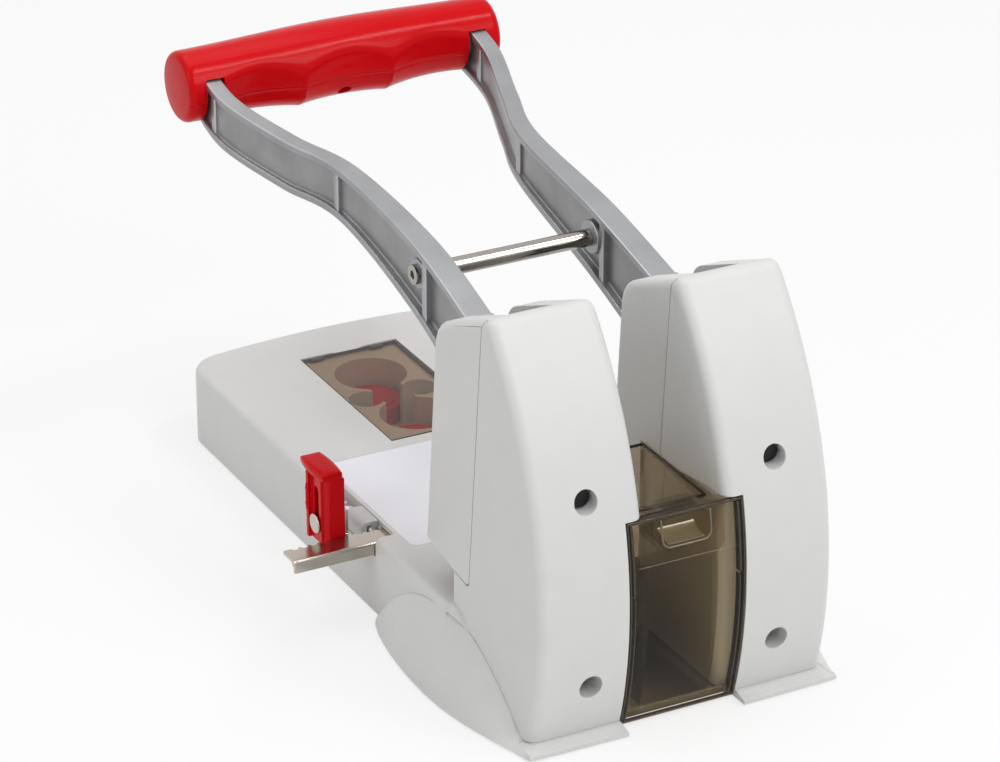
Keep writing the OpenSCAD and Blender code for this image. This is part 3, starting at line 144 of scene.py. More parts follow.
def pale_floor(half, glow_share):
    """A square floor; the glow share lifts it towards white where the camera or a mirror sees it."""
    mesh = bpy.data.meshes.new("pale_floor")
    corners = [(-half, -half, 0), (half, -half, 0), (half, half, 0), (-half, half, 0)]
    mesh.from_pydata(corners, [], [(0, 1, 2, 3)])
    floor = bpy.data.objects.new("pale_floor", mesh)
    scene.collection.objects.link(floor)
    paint = bpy.data.materials.new("pale_floor")
    paint.use_nodes = True
    tree = paint.node_tree
    tree.nodes.clear()
    matt = tree.nodes.new("ShaderNodeBsdfDiffuse")
    matt.inputs["Color"].default_value = (0.9, 0.9, 0.9, 1)
    glow = tree.nodes.new("ShaderNodeEmission")
    glow.inputs["Color"].default_value = (1, 1, 1, 1)
    glow.inputs["Strength"].default_value = 1.0
    share = tree.nodes.new("ShaderNodeMath")
    share.operation = "MULTIPLY"
    share.inputs[1].default_value = glow_share
    mix = tree.nodes.new("ShaderNodeMixShader")
    out = tree.nodes.new("ShaderNodeOutputMaterial")
    tree.links.new(looks_at_background(tree), share.inputs[0])
    tree.links.new(share.outputs[0], mix.inputs[0])
    tree.links.new(matt.outputs[0], mix.inputs[1])
    tree.links.new(glow.outputs[0], mix.inputs[2])
    tree.links.new(mix.outputs[0], out.inputs[0])
    mesh.materials.append(paint)
    floor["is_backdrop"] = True


def soft_lamp(name, place, aim, size, watts):
    """A rectangular lamp at a place, turned to an aim; all in metres and watts."""
    data = bpy.data.lights.new(name, "AREA")
    data.shape = "RECTANGLE"
    data.size, data.size_y = size
    data.energy = watts
    lamp = bpy.data.objects.new(name, data)
    lamp.location = place
    lamp.rotation_euler = (Vector(aim) - Vector(place)).to_track_quat("-Z", "Y").to_euler()
    scene.collection.objects.link(lamp)


light_world(0.35)
pale_floor(6.0, 0.72)
middle = (0, 0, 0.08)
soft_lamp("over_camera", (-0.5, 1.7, 1.5), middle, (1.4, 1.0), 18.6)
soft_lamp("from_left", (1.9, 0.1, 0.9), middle, (0.9, 1.3), 5.5)
soft_lamp("above", (0.1, -0.5, 1.9), middle, (1.6, 1.4), 13.5)
soft_lamp("strip", (-0.72, 0.57, 1.73), (0, -0.14, 0.17), (0.9, 0.12), 7)

# %% [markdown]
# ## Finishes
# Every finish starts from one recipe: a slow mottle in the colour, a finer mottle in the
# roughness and a grain that lifts the surface by a few hundredths of a millimetre at most.
# What changes between plastic, paint and plated steel is the scale of the grain and how
# metallic the surface is. Object coordinates are metres here, so a scale of 1000 makes
# grain about a millimetre apart.

# %% The common recipe
finishes = {}


def surface(name, colour, rough, metal=0.0, mottle=0.03, grain=1500.0, depth=0.00002,
            shine=0.5, rough_swing=0.05):
    """A finish with mottled colour, uneven roughness and a fine raised grain."""
    mat = bpy.data.materials.new(name)
    mat.use_nodes = True
    tree = mat.node_tree
    tree.nodes.clear()
    out = tree.nodes.new("ShaderNodeOutputMaterial")
    skin = tree.nodes.new("ShaderNodeBsdfPrincipled")
    skin.name = "skin"
    skin.inputs["Metallic"].default_value = metal
    skin.inputs["Specular IOR Level"].default_value = shine
    tree.links.new(skin.outputs[0], out.inputs[0])
    coords = tree.nodes.new("ShaderNodeTexCoord")

    slow = tree.nodes.new("ShaderNodeTexNoise")
    slow.inputs["Scale"].default_value = grain / 22
    slow.inputs["Detail"].default_value = 4
    tree.links.new(coords.outputs["Object"], slow.inputs["Vector"])
    shades = tree.nodes.new("ShaderNodeValToRGB")
    shades.color_ramp.elements[0].position = 0.3
    shades.color_ramp.elements[1].position = 0.7
    shades.color_ramp.elements[0].color = [c * (1 - mottle) for c in colour] + [1]
    shades.color_ramp.elements[1].color = [min(1, c * (1 + mottle)) for c in colour] + [1]
    tree.links.new(slow.outputs["Fac"], shades.inputs[0])
    tree.links.new(shades.outputs[0], skin.inputs["Base Color"])

    fine = tree.nodes.new("ShaderNodeTexNoise")
    fine.inputs["Scale"].default_value = grain
    fine.inputs["Detail"].default_value = 3
    tree.links.new(coords.outputs["Object"], fine.inputs["Vector"])
    sheen = tree.nodes.new("ShaderNodeMapRange")
    sheen.inputs["To Min"].default_value = rough - rough_swing
    sheen.inputs["To Max"].default_value = rough + rough_swing
    tree.links.new(fine.outputs["Fac"], sheen.inputs["Value"])
    tree.links.new(sheen.outputs[0], skin.inputs["Roughness"])
    lift = tree.nodes.new("ShaderNodeBump")
    lift.inputs["Strength"].default_value = 1.0
    lift.inputs["Distance"].default_value = depth
    tree.links.new(fine.outputs["Fac"], lift.inputs["Height"])
    tree.links.new(lift.outputs[0], skin.inputs["Normal"])
    finishes[name] = mat
    return mat


housing_grey = surface("housing_grey", (0.68, 0.68, 0.665), 0.46, mottle=0.012, grain=1700, depth=0.000012)
guide_grey = surface("guide_grey", (0.60, 0.60, 0.59), 0.42, mottle=0.015, grain=1500, depth=0.00001)
plate_white = surface("plate_white", (0.88, 0.885, 0.93), 0.36, mottle=0.012, grain=900, depth=0.000006)
signal_red = surface("signal_red", (0.62, 0.0015, 0.005), 0.2, mottle=0.03, grain=700, depth=0.000003,
                     shine=0.1)
cast_silver = surface("cast_silver", (0.285, 0.288, 0.296), 0.34, metal=0.7, mottle=0.06, grain=1700,
                      depth=0.00004)
# Painted shade for the arms' sunk web faces, standing in for the shade in the recess.
painted_shade_web = surface("painted_shade_web", (0.29, 0.29, 0.295), 0.36, metal=0.55, mottle=0.1, grain=1700, depth=0.00006)
bright_chrome = surface("bright_chrome", (0.36, 0.34, 0.31), 0.12, metal=1.0, mottle=0.02, grain=500,
                        depth=0.000002, rough_swing=0.03)
nickel = surface("nickel", (0.5, 0.465, 0.405), 0.2, metal=1.0, mottle=0.05, grain=900, depth=0.000003)
zinc_steel = surface("zinc_steel", (0.55, 0.55, 0.54), 0.3, metal=1.0, mottle=0.08, grain=1500, depth=0.00001)
dark_steel = surface("dark_steel", (0.075, 0.078, 0.085), 0.45, metal=0.8, mottle=0.12, grain=900,
                     depth=0.00002)
black_oxide = surface("black_oxide", (0.012, 0.012, 0.013), 0.4, metal=0.5, mottle=0.2, grain=1200,
                      depth=0.00001)
mat_rubber = surface("mat_rubber", (0.016, 0.016, 0.017), 0.75, mottle=0.15, grain=700, depth=0.00005)
print("finishes:", sorted(finishes))

# %% [markdown]
# Light catches the raised edges of the castings in bright lines. A mask could be painted by hand, but the
# pointiness of the mesh already tells raised edges from flat faces and hollows, so it lightens the two silver
# finishes just there, as a painted highlight.

# %% Painted highlights along the castings' edges
def painted_edge_highlights(mat, gain):
    """Lightens a finish along its raised edges: a painted highlight where light catches them."""
    tree = mat.node_tree
    skin = tree.nodes["skin"]
    shape = tree.nodes.new("ShaderNodeNewGeometry")
    edge = tree.nodes.new("ShaderNodeMapRange")
    edge.inputs["From Min"].default_value = 0.51
    edge.inputs["From Max"].default_value = 0.6
    edge.inputs["To Min"].default_value = 1.0
    edge.inputs["To Max"].default_value = gain
    scale = tree.nodes.new("ShaderNodeVectorMath")
    scale.operation = "SCALE"
    tree.links.new(shape.outputs["Pointiness"], edge.inputs["Value"])
    tree.links.new(skin.inputs["Base Color"].links[0].from_socket, scale.inputs[0])
    tree.links.new(edge.outputs[0], scale.inputs["Scale"])
    tree.links.new(scale.outputs[0], skin.inputs["Base Color"])


# Both silver finishes get the painted edge highlight, a little weaker on the web.
for casting, gain in ((cast_silver, 1.75), (painted_shade_web, 1.6)):
    painted_edge_highlights(casting, gain)
    print(casting.name, "edges lightened", gain, "times")

# %% [markdown]
# ## Smoke plastic
# The tray and the lid are clear brown. Light is tinted each time it goes through a wall,
# so the tray, with several walls behind one another, looks darker than the lid. The walls
# are thin, so light hardly bends in them: a tinted clear surface is enough, with a mirror
# on its outer side that grows at a slant. Its shadows come out thin and tinted by themselves.

# %% Two strengths of smoke
def smoke(name, tint):
    """Clear plastic: each skin tints what passes through it, and mirrors a little at a slant."""
    mat = surface(name, (0.9, 0.9, 0.9), 0.07, metal=1.0, mottle=0.015, grain=260, depth=0.000004,
                  rough_swing=0.02)
    tree = mat.node_tree
    clear = tree.nodes.new("ShaderNodeBsdfTransparent")
    clear.inputs["Color"].default_value = (*tint, 1)
    slant = tree.nodes.new("ShaderNodeFresnel")
    slant.inputs["IOR"].default_value = 1.3
    side = tree.nodes.new("ShaderNodeNewGeometry")
    outer = tree.nodes.new("ShaderNodeMath")
    outer.operation = "SUBTRACT"
    outer.inputs[0].default_value = 1.0
    only = tree.nodes.new("ShaderNodeMath")
    only.operation = "MULTIPLY"
    mix = tree.nodes.new("ShaderNodeMixShader")
    out = next(n for n in tree.nodes if n.type == "OUTPUT_MATERIAL")
    tree.links.new(side.outputs["Backfacing"], outer.inputs[1])
    tree.links.new(outer.outputs[0], only.inputs[0])
    tree.links.new(slant.outputs[0], only.inputs[1])
    tree.links.new(only.outputs[0], mix.inputs[0])
    tree.links.new(clear.outputs[0], mix.inputs[1])
    tree.links.new(tree.nodes["skin"].outputs[0], mix.inputs[2])
    tree.links.new(mix.outputs[0], out.inputs[0])
    return mat


smoke_tray = smoke("smoke_tray", (0.915, 0.87, 0.785))
smoke_lid = smoke("smoke_lid", (0.8, 0.735, 0.665))
print("clear plastics:", smoke_tray.name, smoke_lid.name)

# %% [markdown]
# ## Dressing a CAD solid
# A solid's mesh arrives as triangles with hard creases. A few modifiers turn it into a
# moulding: flat triangles are dissolved into whole faces, every crease gets a narrow
# bevel, and normals are weighted by face area, so flat faces stay flat. The solid's own
# vertices are never touched. The base has long slanted fans of triangles that a bevel would
# tear, so its creases are only split.

# %% The dressing stack
def smooth(mesh):
    """Shades every face of a mesh smoothly."""
    mesh.polygons.foreach_set("use_smooth", [True] * len(mesh.polygons))


def soft_edges(piece, width, segments, crease):
    """Bevels creases sharper than an angle; the bevel's width is in millimetres."""
    bevel = piece.modifiers.new("soft_edges", "BEVEL")
    bevel.width = width * MM
    bevel.segments = segments
    bevel.limit_method = "ANGLE"
    bevel.angle_limit = math.radians(crease)
    bevel.use_clamp_overlap = False
    return bevel


def dress(name, finish, edge, crease=32, whole=True):
    """Gives a CAD node its finish and soft edges; edge is the bevel's width in millimetres."""
    solid = solids[name]
    mesh = solid.data
    mesh.materials.clear()
    mesh.materials.append(finish)
    smooth(mesh)
    for layer in ("custom_normal", "sharp_edge", "sharp_face"):
        if layer in mesh.attributes:
            mesh.attributes.remove(mesh.attributes[layer])
    weld = solid.modifiers.new("weld", "WELD")
    weld.merge_threshold = 0.000002
    if whole:
        flat = solid.modifiers.new("whole_faces", "DECIMATE")
        flat.decimate_type = "DISSOLVE"
        flat.angle_limit = math.radians(0.4)
    else:
        split = solid.modifiers.new("hard_edges", "EDGE_SPLIT")
        split.split_angle = math.radians(crease)
    if edge > 0:
        soft_edges(solid, edge, 2, crease).miter_outer = "MITER_ARC"
    even = solid.modifiers.new("even_normals", "WEIGHTED_NORMAL")
    even.mode = "FACE_AREA_WITH_ANGLE"
    even.weight = 80


print("dressing ready for", len(solids), "solids")

# %% [markdown]
# Most pieces come in a left and a right one, so one row of the first list dresses both.
# Pieces that are drawn again further down are dressed too, since a replaced solid still
# needs a finish.

# %% Dress every solid
PAIRED = [
    ("tower_rear_cover", housing_grey, 0.45), ("tower_front_cover", housing_grey, 0.45),
    ("punch_frame", dark_steel, 0.3), ("pivot_shaft", zinc_steel, 0.3), ("cutting_disc", signal_red, 0.2),
    ("hollow_punch", zinc_steel, 0.0), ("punch_ram", dark_steel, 0.3), ("press_roller", zinc_steel, 0.3),
    ("roller_pin", zinc_steel, 0.2), ("return_spring", zinc_steel, 0.0), ("lever_arm", cast_silver, 0.0)]
SINGLE = [
    ("table_plate", plate_white, 0.12), ("storage_lid", smoke_lid, 0.25), ("base_plate", zinc_steel, 0.1),
    ("anti_slip_mat", mat_rubber, 0.3), ("base_screws", black_oxide, 0.1), ("cover_screws", black_oxide, 0.3),
    ("spare_cutting_discs", signal_red, 0.2), ("tie_rod", bright_chrome, 0.2),
    ("tie_rod_screws", bright_chrome, 0.2), ("grip_core", dark_steel, 0.2), ("grip_screw", black_oxide, 0.2),
    ("chip_tray", smoke_tray, 0.35), ("rail_guide", guide_grey, 0.3), ("detent_spring", zinc_steel, 0.0),
    ("stop_rail", nickel, 0.25), ("stop_flag", signal_red, 0.5), ("flag_rivet", nickel, 0.35),
    ("grip_upper", signal_red, 0.0), ("grip_lower", signal_red, 0.0)]

dress("base_shell", housing_grey, 0.0, crease=13, whole=False)
for node, finish, edge in SINGLE:
    dress(node, finish, edge)
for node, finish, edge in PAIRED:
    for hand in ("left", "right"):
        dress(node + "_" + hand, finish, edge)
print("dressed solids:", 1 + len(SINGLE) + 2 * len(PAIRED))

# %% [markdown]
# ## Mesh helpers
# A swept form is a row of rings joined by quads. The rings come from a formula, so the
# form is as smooth as the number of rings, and long creases stay clean enough to bevel.

# %% Rings, bars and plates
def form(name, builder):
    """Makes a plain object from a bmesh that the builder fills."""
    bm = bmesh.new()
    builder(bm)
    bmesh.ops.recalc_face_normals(bm, faces=bm.faces)
    mesh = bpy.data.meshes.new(name)
    bm.to_mesh(mesh)
    bm.free()
    plain = bpy.data.objects.new(name, mesh)
    scene.collection.objects.link(plain)
    return plain


def add_piece(name, builder, finish, body, nodes=()):
    """Makes a form, gives it a finish and lets it ride on a CAD body."""
    piece = form(name, builder)
    smooth(piece.data)
    piece.data.materials.append(finish)
    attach(piece, body)
    if nodes:
        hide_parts(*nodes)
    return piece


def sweep(bm, rings):
    """Joins rings of points, in millimetres, by quads, and caps both ends."""
    rows = [[bm.verts.new(Vector(p) * MM) for p in ring] for ring in rings]
    sides = len(rows[0])
    for a, b in zip(rows, rows[1:]):
        for j in range(sides):
            bm.faces.new((a[j], a[(j + 1) % sides], b[(j + 1) % sides], b[j]))
    bm.faces.new(rows[0])
    bm.faces.new(rows[-1])


def full_turn(sides):
    """Even angles round a circle."""
    return [2 * math.pi * j / sides for j in range(sides)]


def bar(bm, x0, x1, y, z, radius, sides=40):
    """A round bar along X."""
    turn = full_turn(sides)
    sweep(bm, [[(x, y + radius * math.cos(a), z + radius * math.sin(a)) for a in turn] for x in (x0, x1)])


def oblong(y0, y1, z0, z1):
    """The outline of a plate with four square corners."""
    return [(y0, z0), (y1, z0), (y1, z1), (y0, z1)]


def plate(bm, outline, x0, x1):
    """A flat plate: an outline of (y, z) points, from x0 to x1."""
    sweep(bm, [[(x, y, z) for y, z in outline] for x in (x0, x1)])


def soften(piece, width, segments=3, crease=38):
    """Rounds a piece's creases by a bevel of the width, and keeps its flat faces flat."""
    soft_edges(piece, width, segments, crease)
    piece.modifiers.new("even_normals", "WEIGHTED_NORMAL").weight = 80
    return piece


print("helpers ready")

# %% [markdown]
# ## Lever arms
# Each arm is a die casting of I section that starts in its tower, runs forward, then
# swings outward to the end of the grip. It could be drawn by hand along a curve, but a
# smooth curve through six stations gives both arms, one the mirror of the other, and
# keeps the height and the flange width changing together.

# %% Stations of an arm and its section
PUNCH_X, PUNCH_Y = 40.0, 74.0
GRIP_Y, GRIP_Z = -145.0, 164.5
PIVOT_Y, PIVOT_Z = 121.0, 106.0
ROD_Y, ROD_Z = 15.5, 138.4
ROLLER_Z = 103.3
ARM_END_X, ARM_ROD_X = 60.2, 38.8
WEB_HALF, FLANGE = 1.7, 3.0
ARM_STATIONS = [
    (GRIP_Y, ARM_END_X, GRIP_Z - 1.5, 22.0, 7.3), (-118.0, ARM_END_X, 156.0, 21.5, 7.3),
    (-83.0, 50.1, 150.0, 21.5, 7.8), (-48.0, 40.2, 147.0, 22.0, 8.6),
    (ROD_Y, ARM_ROD_X, ROD_Z - 2, 29.0, 10.6), (64.0, PUNCH_X, 121.4, 35.0, 11.2)]


def arm_at(u):
    """A point on the smooth curve through the stations: y, x, z, height, flange width."""
    last = len(ARM_STATIONS) - 1
    i = min(int(u), last - 1)
    t = u - i
    a, b = ARM_STATIONS[max(i - 1, 0)], ARM_STATIONS[i]
    c, d = ARM_STATIONS[i + 1], ARM_STATIONS[min(i + 2, last)]
    return [q + t * ((r - p) / 2 + t * (p - 2.5 * q + 2 * r - w / 2 + t * (3 * (q - r) + w - p) / 2))
            for p, q, r, w in zip(a, b, c, d)]


def arm_section(station, side):
    """The I section at a station, as points round it from the upper inner corner."""
    y, x, z, height, width = station
    w, h, f = width / 2, height / 2, height / 2 - FLANGE
    half = [(w, h), (w, f), (WEB_HALF, f), (WEB_HALF, -f), (w, -f), (w, -h)]
    shape = [(-w, h)] + half + [(-p, q) for p, q in reversed(half[1:])]
    return [(side * (x + p), y, z + q) for p, q in shape]


print("points in the section:", len(arm_section(arm_at(0), 1)))

# %% [markdown]
# The sunk faces of the I section get a finish of their own, with painted shade: a rougher, less metallic tone
# that stands in for the shade in the recess. Three ribs stiffen the web. Bosses carry the grip, the tie rod,
# the roller and the pivot, and a thick root inside the tower joins the last two.

# %% Sweep the arms and add ribs and bosses
ARM_STEPS, SUNK_SIDES = 80, (2, 3, 4, 8, 9, 10)
RIBS_AT, RIB_HALF, RIB_SUNK = (0.72, 2.9, 4.13), 1.8, 0.9
ROOT_R, ROOT_HALF = 11, 6.0


def arm_ribs(bm, side):
    for u in RIBS_AT:
        y, x, z, height, width = arm_at(u)
        reach = height / 2 - FLANGE / 2
        plate(bm, oblong(y - RIB_HALF, y + RIB_HALF, z - reach, z + reach),
              side * (x - width / 2 + RIB_SUNK), side * (x + width / 2 - RIB_SUNK))


def arm_bosses(bm, side):
    for x0, x1, y, z, radius in (
            (ARM_END_X - 3.95, ARM_END_X + 3.95, GRIP_Y, GRIP_Z, 10.2),
            (ARM_ROD_X - 5.6, ARM_ROD_X, ROD_Y, ROD_Z, 7.0), (ARM_ROD_X, ARM_ROD_X + 3.6, ROD_Y, ROD_Z, 6.2),
            (PUNCH_X - 8.7, PUNCH_X + 8.7, PIVOT_Y, PIVOT_Z, 9.0),
            (PUNCH_X - 6.4, PUNCH_X + 6.4, PUNCH_Y, ROLLER_Z, 5.5)):
        bar(bm, side * x0, side * x1, y, z, radius)


def arm_root(bm, side):
    ahead = [(62.5, 139.8), (62.5, 103.5), (88.0, 100.4), (117.0, 95.7)]
    turn = [math.radians(a) for a in range(0, 181, 15)]
    round_pivot = [(PIVOT_Y + ROOT_R * math.sin(a), PIVOT_Z - ROOT_R * math.cos(a)) for a in turn]
    outline = ahead + round_pivot + [(94.0, 131.4)]
    plate(bm, outline, side * (PUNCH_X - ROOT_HALF), side * (PUNCH_X + ROOT_HALF))


def lever_arm(bm, side):
    last = len(ARM_STATIONS) - 1
    rings = [arm_section(arm_at(last * i / ARM_STEPS), side) for i in range(ARM_STEPS + 1)]
    sweep(bm, rings)
    sides = len(rings[0])
    bm.faces.ensure_lookup_table()
    # The sunk sides take the second finish, the web's painted shade.
    for k in range(ARM_STEPS * sides):
        bm.faces[k].material_index = int(k % sides in SUNK_SIDES)
    arm_ribs(bm, side)
    arm_bosses(bm, side)
    arm_root(bm, side)


for hand, side in (("left", -1), ("right", 1)):
    arm = add_piece("cast_arm_" + hand, lambda bm: lever_arm(bm, side), cast_silver, "lever",
                    ["lever_arm_" + hand])
    # The second finish is the web's painted shade.
    arm.data.materials.append(painted_shade_web)
    soften(arm, 0.7)
    print(arm.name, "faces:", len(arm.data.polygons))

# %% [markdown]
# ## Grip
# The grip is two red shells that meet in a seam a little below the middle. Three shallow
# finger hollows on its rear and underside meet in two ridges. A lathe can't give the
# hollows, so each ring's radius is worked out point by point, and the seam is a fine
# groove in the same formula.

# %% The grip's form
GRIP_HALF, GRIP_R, GRIP_CROWN = 71.5, 15.0, 1.8
END_LONG, END_DROP = 3, 2.6
GRIP_SEAM = (195.0, 345.0)
HOLLOW_DEEP, HOLLOW_PITCH = 2.7, 40
END_DOME = ((0.8, 0.3), (0.5, 0.5), (0.15, 0.55))


def grip_radius(x):
    """Radius at x: fullest in the middle, and rounded off over the last few millimetres."""
    u = max(0.0, abs(x) - GRIP_HALF + END_LONG) / END_LONG
    r = GRIP_R + GRIP_CROWN * (1 + math.cos(math.pi * x / GRIP_HALF)) / 2
    return r - END_DROP * (1 - math.sqrt(max(0.0, 1 - u * u)))


def finger_hollow(x, a):
    """Depth of the finger hollows at x and at a degrees above the rear."""
    if abs(x) >= 1.5 * HOLLOW_PITCH:
        return 0.0
    wave = abs(math.cos(math.pi * x / HOLLOW_PITCH)) ** 0.8
    a = a - 360 if a > 180 else a
    upper = 18 + 24 * wave
    rise = min(1.0, max(0.0, (upper - a) / 36))
    fade = min(1.0, max(0.0, (a + 140) / 110))
    return HOLLOW_DEEP * wave * rise * rise * (3 - 2 * rise) * fade


def grip_angles():
    """Even angles round the grip, with a few close together at each seam."""
    even = [i * 4.0 for i in range(90)]
    near_seam = [m + d for m in GRIP_SEAM for d in (-1.9, -1.0, 0.0, 1.0, 1.9)]
    return sorted([a for a in even if min(abs(a - m) for m in GRIP_SEAM) > 3] + near_seam)


def grip_ring(x, shrink=1.0, out=0.0):
    ring = []
    for a in grip_angles():
        seam = min(abs(a - m) for m in GRIP_SEAM)
        groove = 0.45 if seam < 0.5 else (0.1 if seam < 1.2 else 0.0)
        r = (grip_radius(x) - finger_hollow(x, a)) * shrink - groove
        ring.append((x + out, GRIP_Y + r * math.cos(math.radians(a)), GRIP_Z + r * math.sin(math.radians(a))))
    return ring


def grip_form(bm):
    flat = int(GRIP_HALF - END_LONG)
    turn = [GRIP_HALF - END_LONG + END_LONG * math.sin(math.radians(10 * i)) for i in range(1, 10)]
    xs = [float(i) for i in range(-flat, flat + 1)] + turn + [-x for x in turn]
    rings = [grip_ring(-GRIP_HALF, s, -o) for s, o in reversed(END_DOME)]
    rings += [grip_ring(x) for x in sorted(xs)]
    rings += [grip_ring(GRIP_HALF, s, o) for s, o in END_DOME]
    sweep(bm, rings)


grip = add_piece("red_grip", grip_form, signal_red, "lever", ["grip_upper", "grip_lower"])
print("grip faces:", len(grip.data.polygons))

# %% [markdown]
# The arms enter the grip through two slots, and a screw holds its shells together from
# below. Both are cut away from the finished form, as a drill or a moulding core would
# leave them, so the rings stay simple. The cut is applied at once and its tool deleted.

# %% Cut the arms' slots and the screw's hole
SLOT_SIDE = [(-146, 151), (-110, 143), (-110, 165.8), (-118, 167.3), (-130, 170.6), (-146, 174.9)]
SLOT_HALF = 4.0
SCREW_SLANT, SCREW_HOLE_R, SCREW_HOLE_ENDS = 40, 3.0, (9.0, 22.0)


def take_away(piece, tool):
    """Cuts the tool's form out of a piece, and leaves no modifier or tool behind."""
    step = piece.modifiers.new("cut", "BOOLEAN")
    step.operation = "DIFFERENCE"
    step.solver = "EXACT"
    step.object = tool
    graph = bpy.context.evaluated_depsgraph_get()
    result = bpy.data.meshes.new_from_object(piece.evaluated_get(graph))
    piece.modifiers.clear()
    piece.data = result
    bpy.data.objects.remove(tool)


def cut(piece, name, builder):
    """Cuts away a form that is needed only once."""
    take_away(piece, form(name, builder))


def arm_slots(bm):
    for side in (-1, 1):
        plate(bm, SLOT_SIDE, side * (ARM_END_X - SLOT_HALF), side * (ARM_END_X + SLOT_HALF))


def screw_hole(bm):
    slant = math.radians(SCREW_SLANT)
    axis = Vector((0, math.sin(slant), -math.cos(slant)))
    across = Vector((1, 0, 0))
    up = axis.cross(across)
    middle = Vector((0, GRIP_Y, GRIP_Z))
    circle = [SCREW_HOLE_R * (across * math.cos(a) + up * math.sin(a)) for a in full_turn(32)]
    sweep(bm, [[middle + axis * d + c for c in circle] for d in SCREW_HOLE_ENDS])


cut(grip, "arm_slots", arm_slots)
cut(grip, "screw_hole", screw_hole)
smooth(grip.data)
grip.data.set_sharp_from_angle(angle=math.radians(38))
print("grip faces after the cuts:", len(grip.data.polygons))

# %% [markdown]
# ## Tower covers
# Each tower is closed by two mouldings: a front one over the head, and a rear one with
# the screw holes. On the real punch the corners are tight and the sides widen a little
# towards the foot. Slices of the side outline, set side by side across the tower, give
# the whole form; cutting it at the seam gives two covers that are sure to fit.

# %% Side outline of a tower
def bearing(degrees):
    """A direction in the side view: degrees above the rear."""
    return Vector((math.cos(math.radians(degrees)), math.sin(math.radians(degrees))))


def inward(direction):
    """A direction turned a quarter clockwise, so that it points into the tower."""
    return Vector((direction.y, -direction.x))


HEAD = Vector((61.0, 51.96))
CROWN = Vector((111.6, 162.0))
REAR_MID, REAR_R = Vector((-15.0, 50.0)), 169.0
COLUMN_Y, FOOT_TOP = 86.0, 3.7
FACE_UP, CROWN_BACK, ROOF_AHEAD = bearing(90 - 4.5), bearing(23), bearing(180 - 9)
FACE_AHEAD, NOSE_TURN, PEAK_TURN = 0.8, 8.0, 4.0


def meet(p, u, q, v):
    """The point where a line from p along u meets a line from q along v."""
    return p + u * ((q - p).x * v.y - (q - p).y * v.x) / (u.x * v.y - u.y * v.x)


def round_corner(p, u, v, size, steps=6):
    """A soft turn at p, from its side u to its side v."""
    return [p + size * ((1 - i / steps) ** 2 * u + (i / steps) ** 2 * v) for i in range(steps + 1)]


def tower_outline(front_in, crown_in, rear_in, low_z):
    """The side outline, with its front, crown and rear each drawn in by a distance."""
    front = HEAD + Vector((-FACE_AHEAD, 0)) + front_in * inward(FACE_UP)
    crown = CROWN + crown_in * inward(CROWN_BACK)
    r = REAR_R - rear_in
    off = crown - REAR_MID
    along = off.dot(CROWN_BACK)
    peak = crown + CROWN_BACK * (math.sqrt(along * along - off.dot(off) + r * r) - along)
    nose = meet(front, FACE_UP, crown, CROWN_BACK)
    top_a = math.asin((peak.y - REAR_MID.y) / r) - PEAK_TURN / r
    low_a = math.asin((low_z - REAR_MID.y) / r)
    turn = REAR_MID + r * Vector((math.cos(top_a), math.sin(top_a)))
    arc = [top_a + (low_a - top_a) * i / 36 for i in range(1, 37)]
    return ([front + FACE_UP * (low_z - front.y) / FACE_UP.y]
            + round_corner(nose, -FACE_UP, CROWN_BACK, NOSE_TURN)
            + round_corner(peak, -CROWN_BACK, (turn - peak) / PEAK_TURN, PEAK_TURN)
            + [REAR_MID + r * Vector((math.cos(a), math.sin(a))) for a in arc])


print("points in the outline:", len(tower_outline(0, 0, 0, FOOT_TOP)))

# %% [markdown]
# A rounded edge draws the outline in near the tower's sides. The same slices, drawn in by
# the wall's thickness, give the hollow inside. The outer side leans out by a millimetre
# and a half from top to foot, as a moulding must to leave its tool.

# %% The tower's form, full size or drawn in
EDGE_R = {"front": 5.0, "crown": 3.6, "rear": 4.6}
TOWER_IN, TOWER_OUT = 22.8, 22.0
LEAN, LEAN_FROM, LEAN_RUN = 1.5, 159, 150


def edge_inset(radius, depth):
    """How far a rounded edge draws the outline in at a depth from the tower's side."""
    return radius - math.sqrt(max(0.0, radius ** 2 - (radius - depth) ** 2)) if depth < radius else 0.0


def tower_form(bm, side, inset=0.0, low_z=FOOT_TOP):
    """The tower as slices across it, drawn in by an inset."""
    reach = EDGE_R["rear"] - inset
    depths = [reach * (1 - math.cos(math.pi / 2 * i / 8)) for i in range(9)]
    slices = [(-TOWER_IN + inset + d, d, 0.0) for d in depths]
    slices += [(TOWER_OUT - inset - d, d, LEAN) for d in reversed(depths)]
    rings = []
    for x, d, lean in slices:
        draws = [inset + edge_inset(EDGE_R[e] - inset, d) for e in ("front", "crown", "rear")]
        rings.append([(side * (PUNCH_X + x + lean * (LEAN_FROM - z) / LEAN_RUN), y, z)
                      for y, z in tower_outline(*draws, low_z)])
    sweep(bm, rings)


print("a tower's inner side lies", round(PUNCH_X - TOWER_IN, 2), "mm from the middle")

# %% [markdown]
# Three kinds of cutter shape the covers: square blocks, round posts, and one plate that
# follows the seam and the throat's roof. The plate's corner is rounded as on the real
# covers, and a small gap on either side of it leaves the seam open.

# %% Cutters for the covers
CUT_NEAR, CUT_FAR = 5, 75
SEAM_BACK, SEAM_GAP, SEAM_TURN = 37.5, 0.2, 3.0


def slab(bm, side, x, y, z):
    """A block between pairs of x (from the punch's axis, outward), y and z."""
    plate(bm, oblong(*y, *z), side * (PUNCH_X + x[0]), side * (PUNCH_X + x[1]))


def post(bm, side, x, y, z, radius, sides=48):
    """A round post: along Y where y is a pair, along Z where z is a pair."""
    circle = [(side * (PUNCH_X + x) + radius * math.cos(a), radius * math.sin(a)) for a in full_turn(sides)]
    if isinstance(y, tuple):
        sweep(bm, [[(p, end, z + q) for p, q in circle] for end in y])
    else:
        sweep(bm, [[(p, y + q, end) for p, q in circle] for end in z])


def side_plate(bm, side, outline):
    """A plate right through a tower."""
    plate(bm, outline, side * CUT_NEAR, side * CUT_FAR)


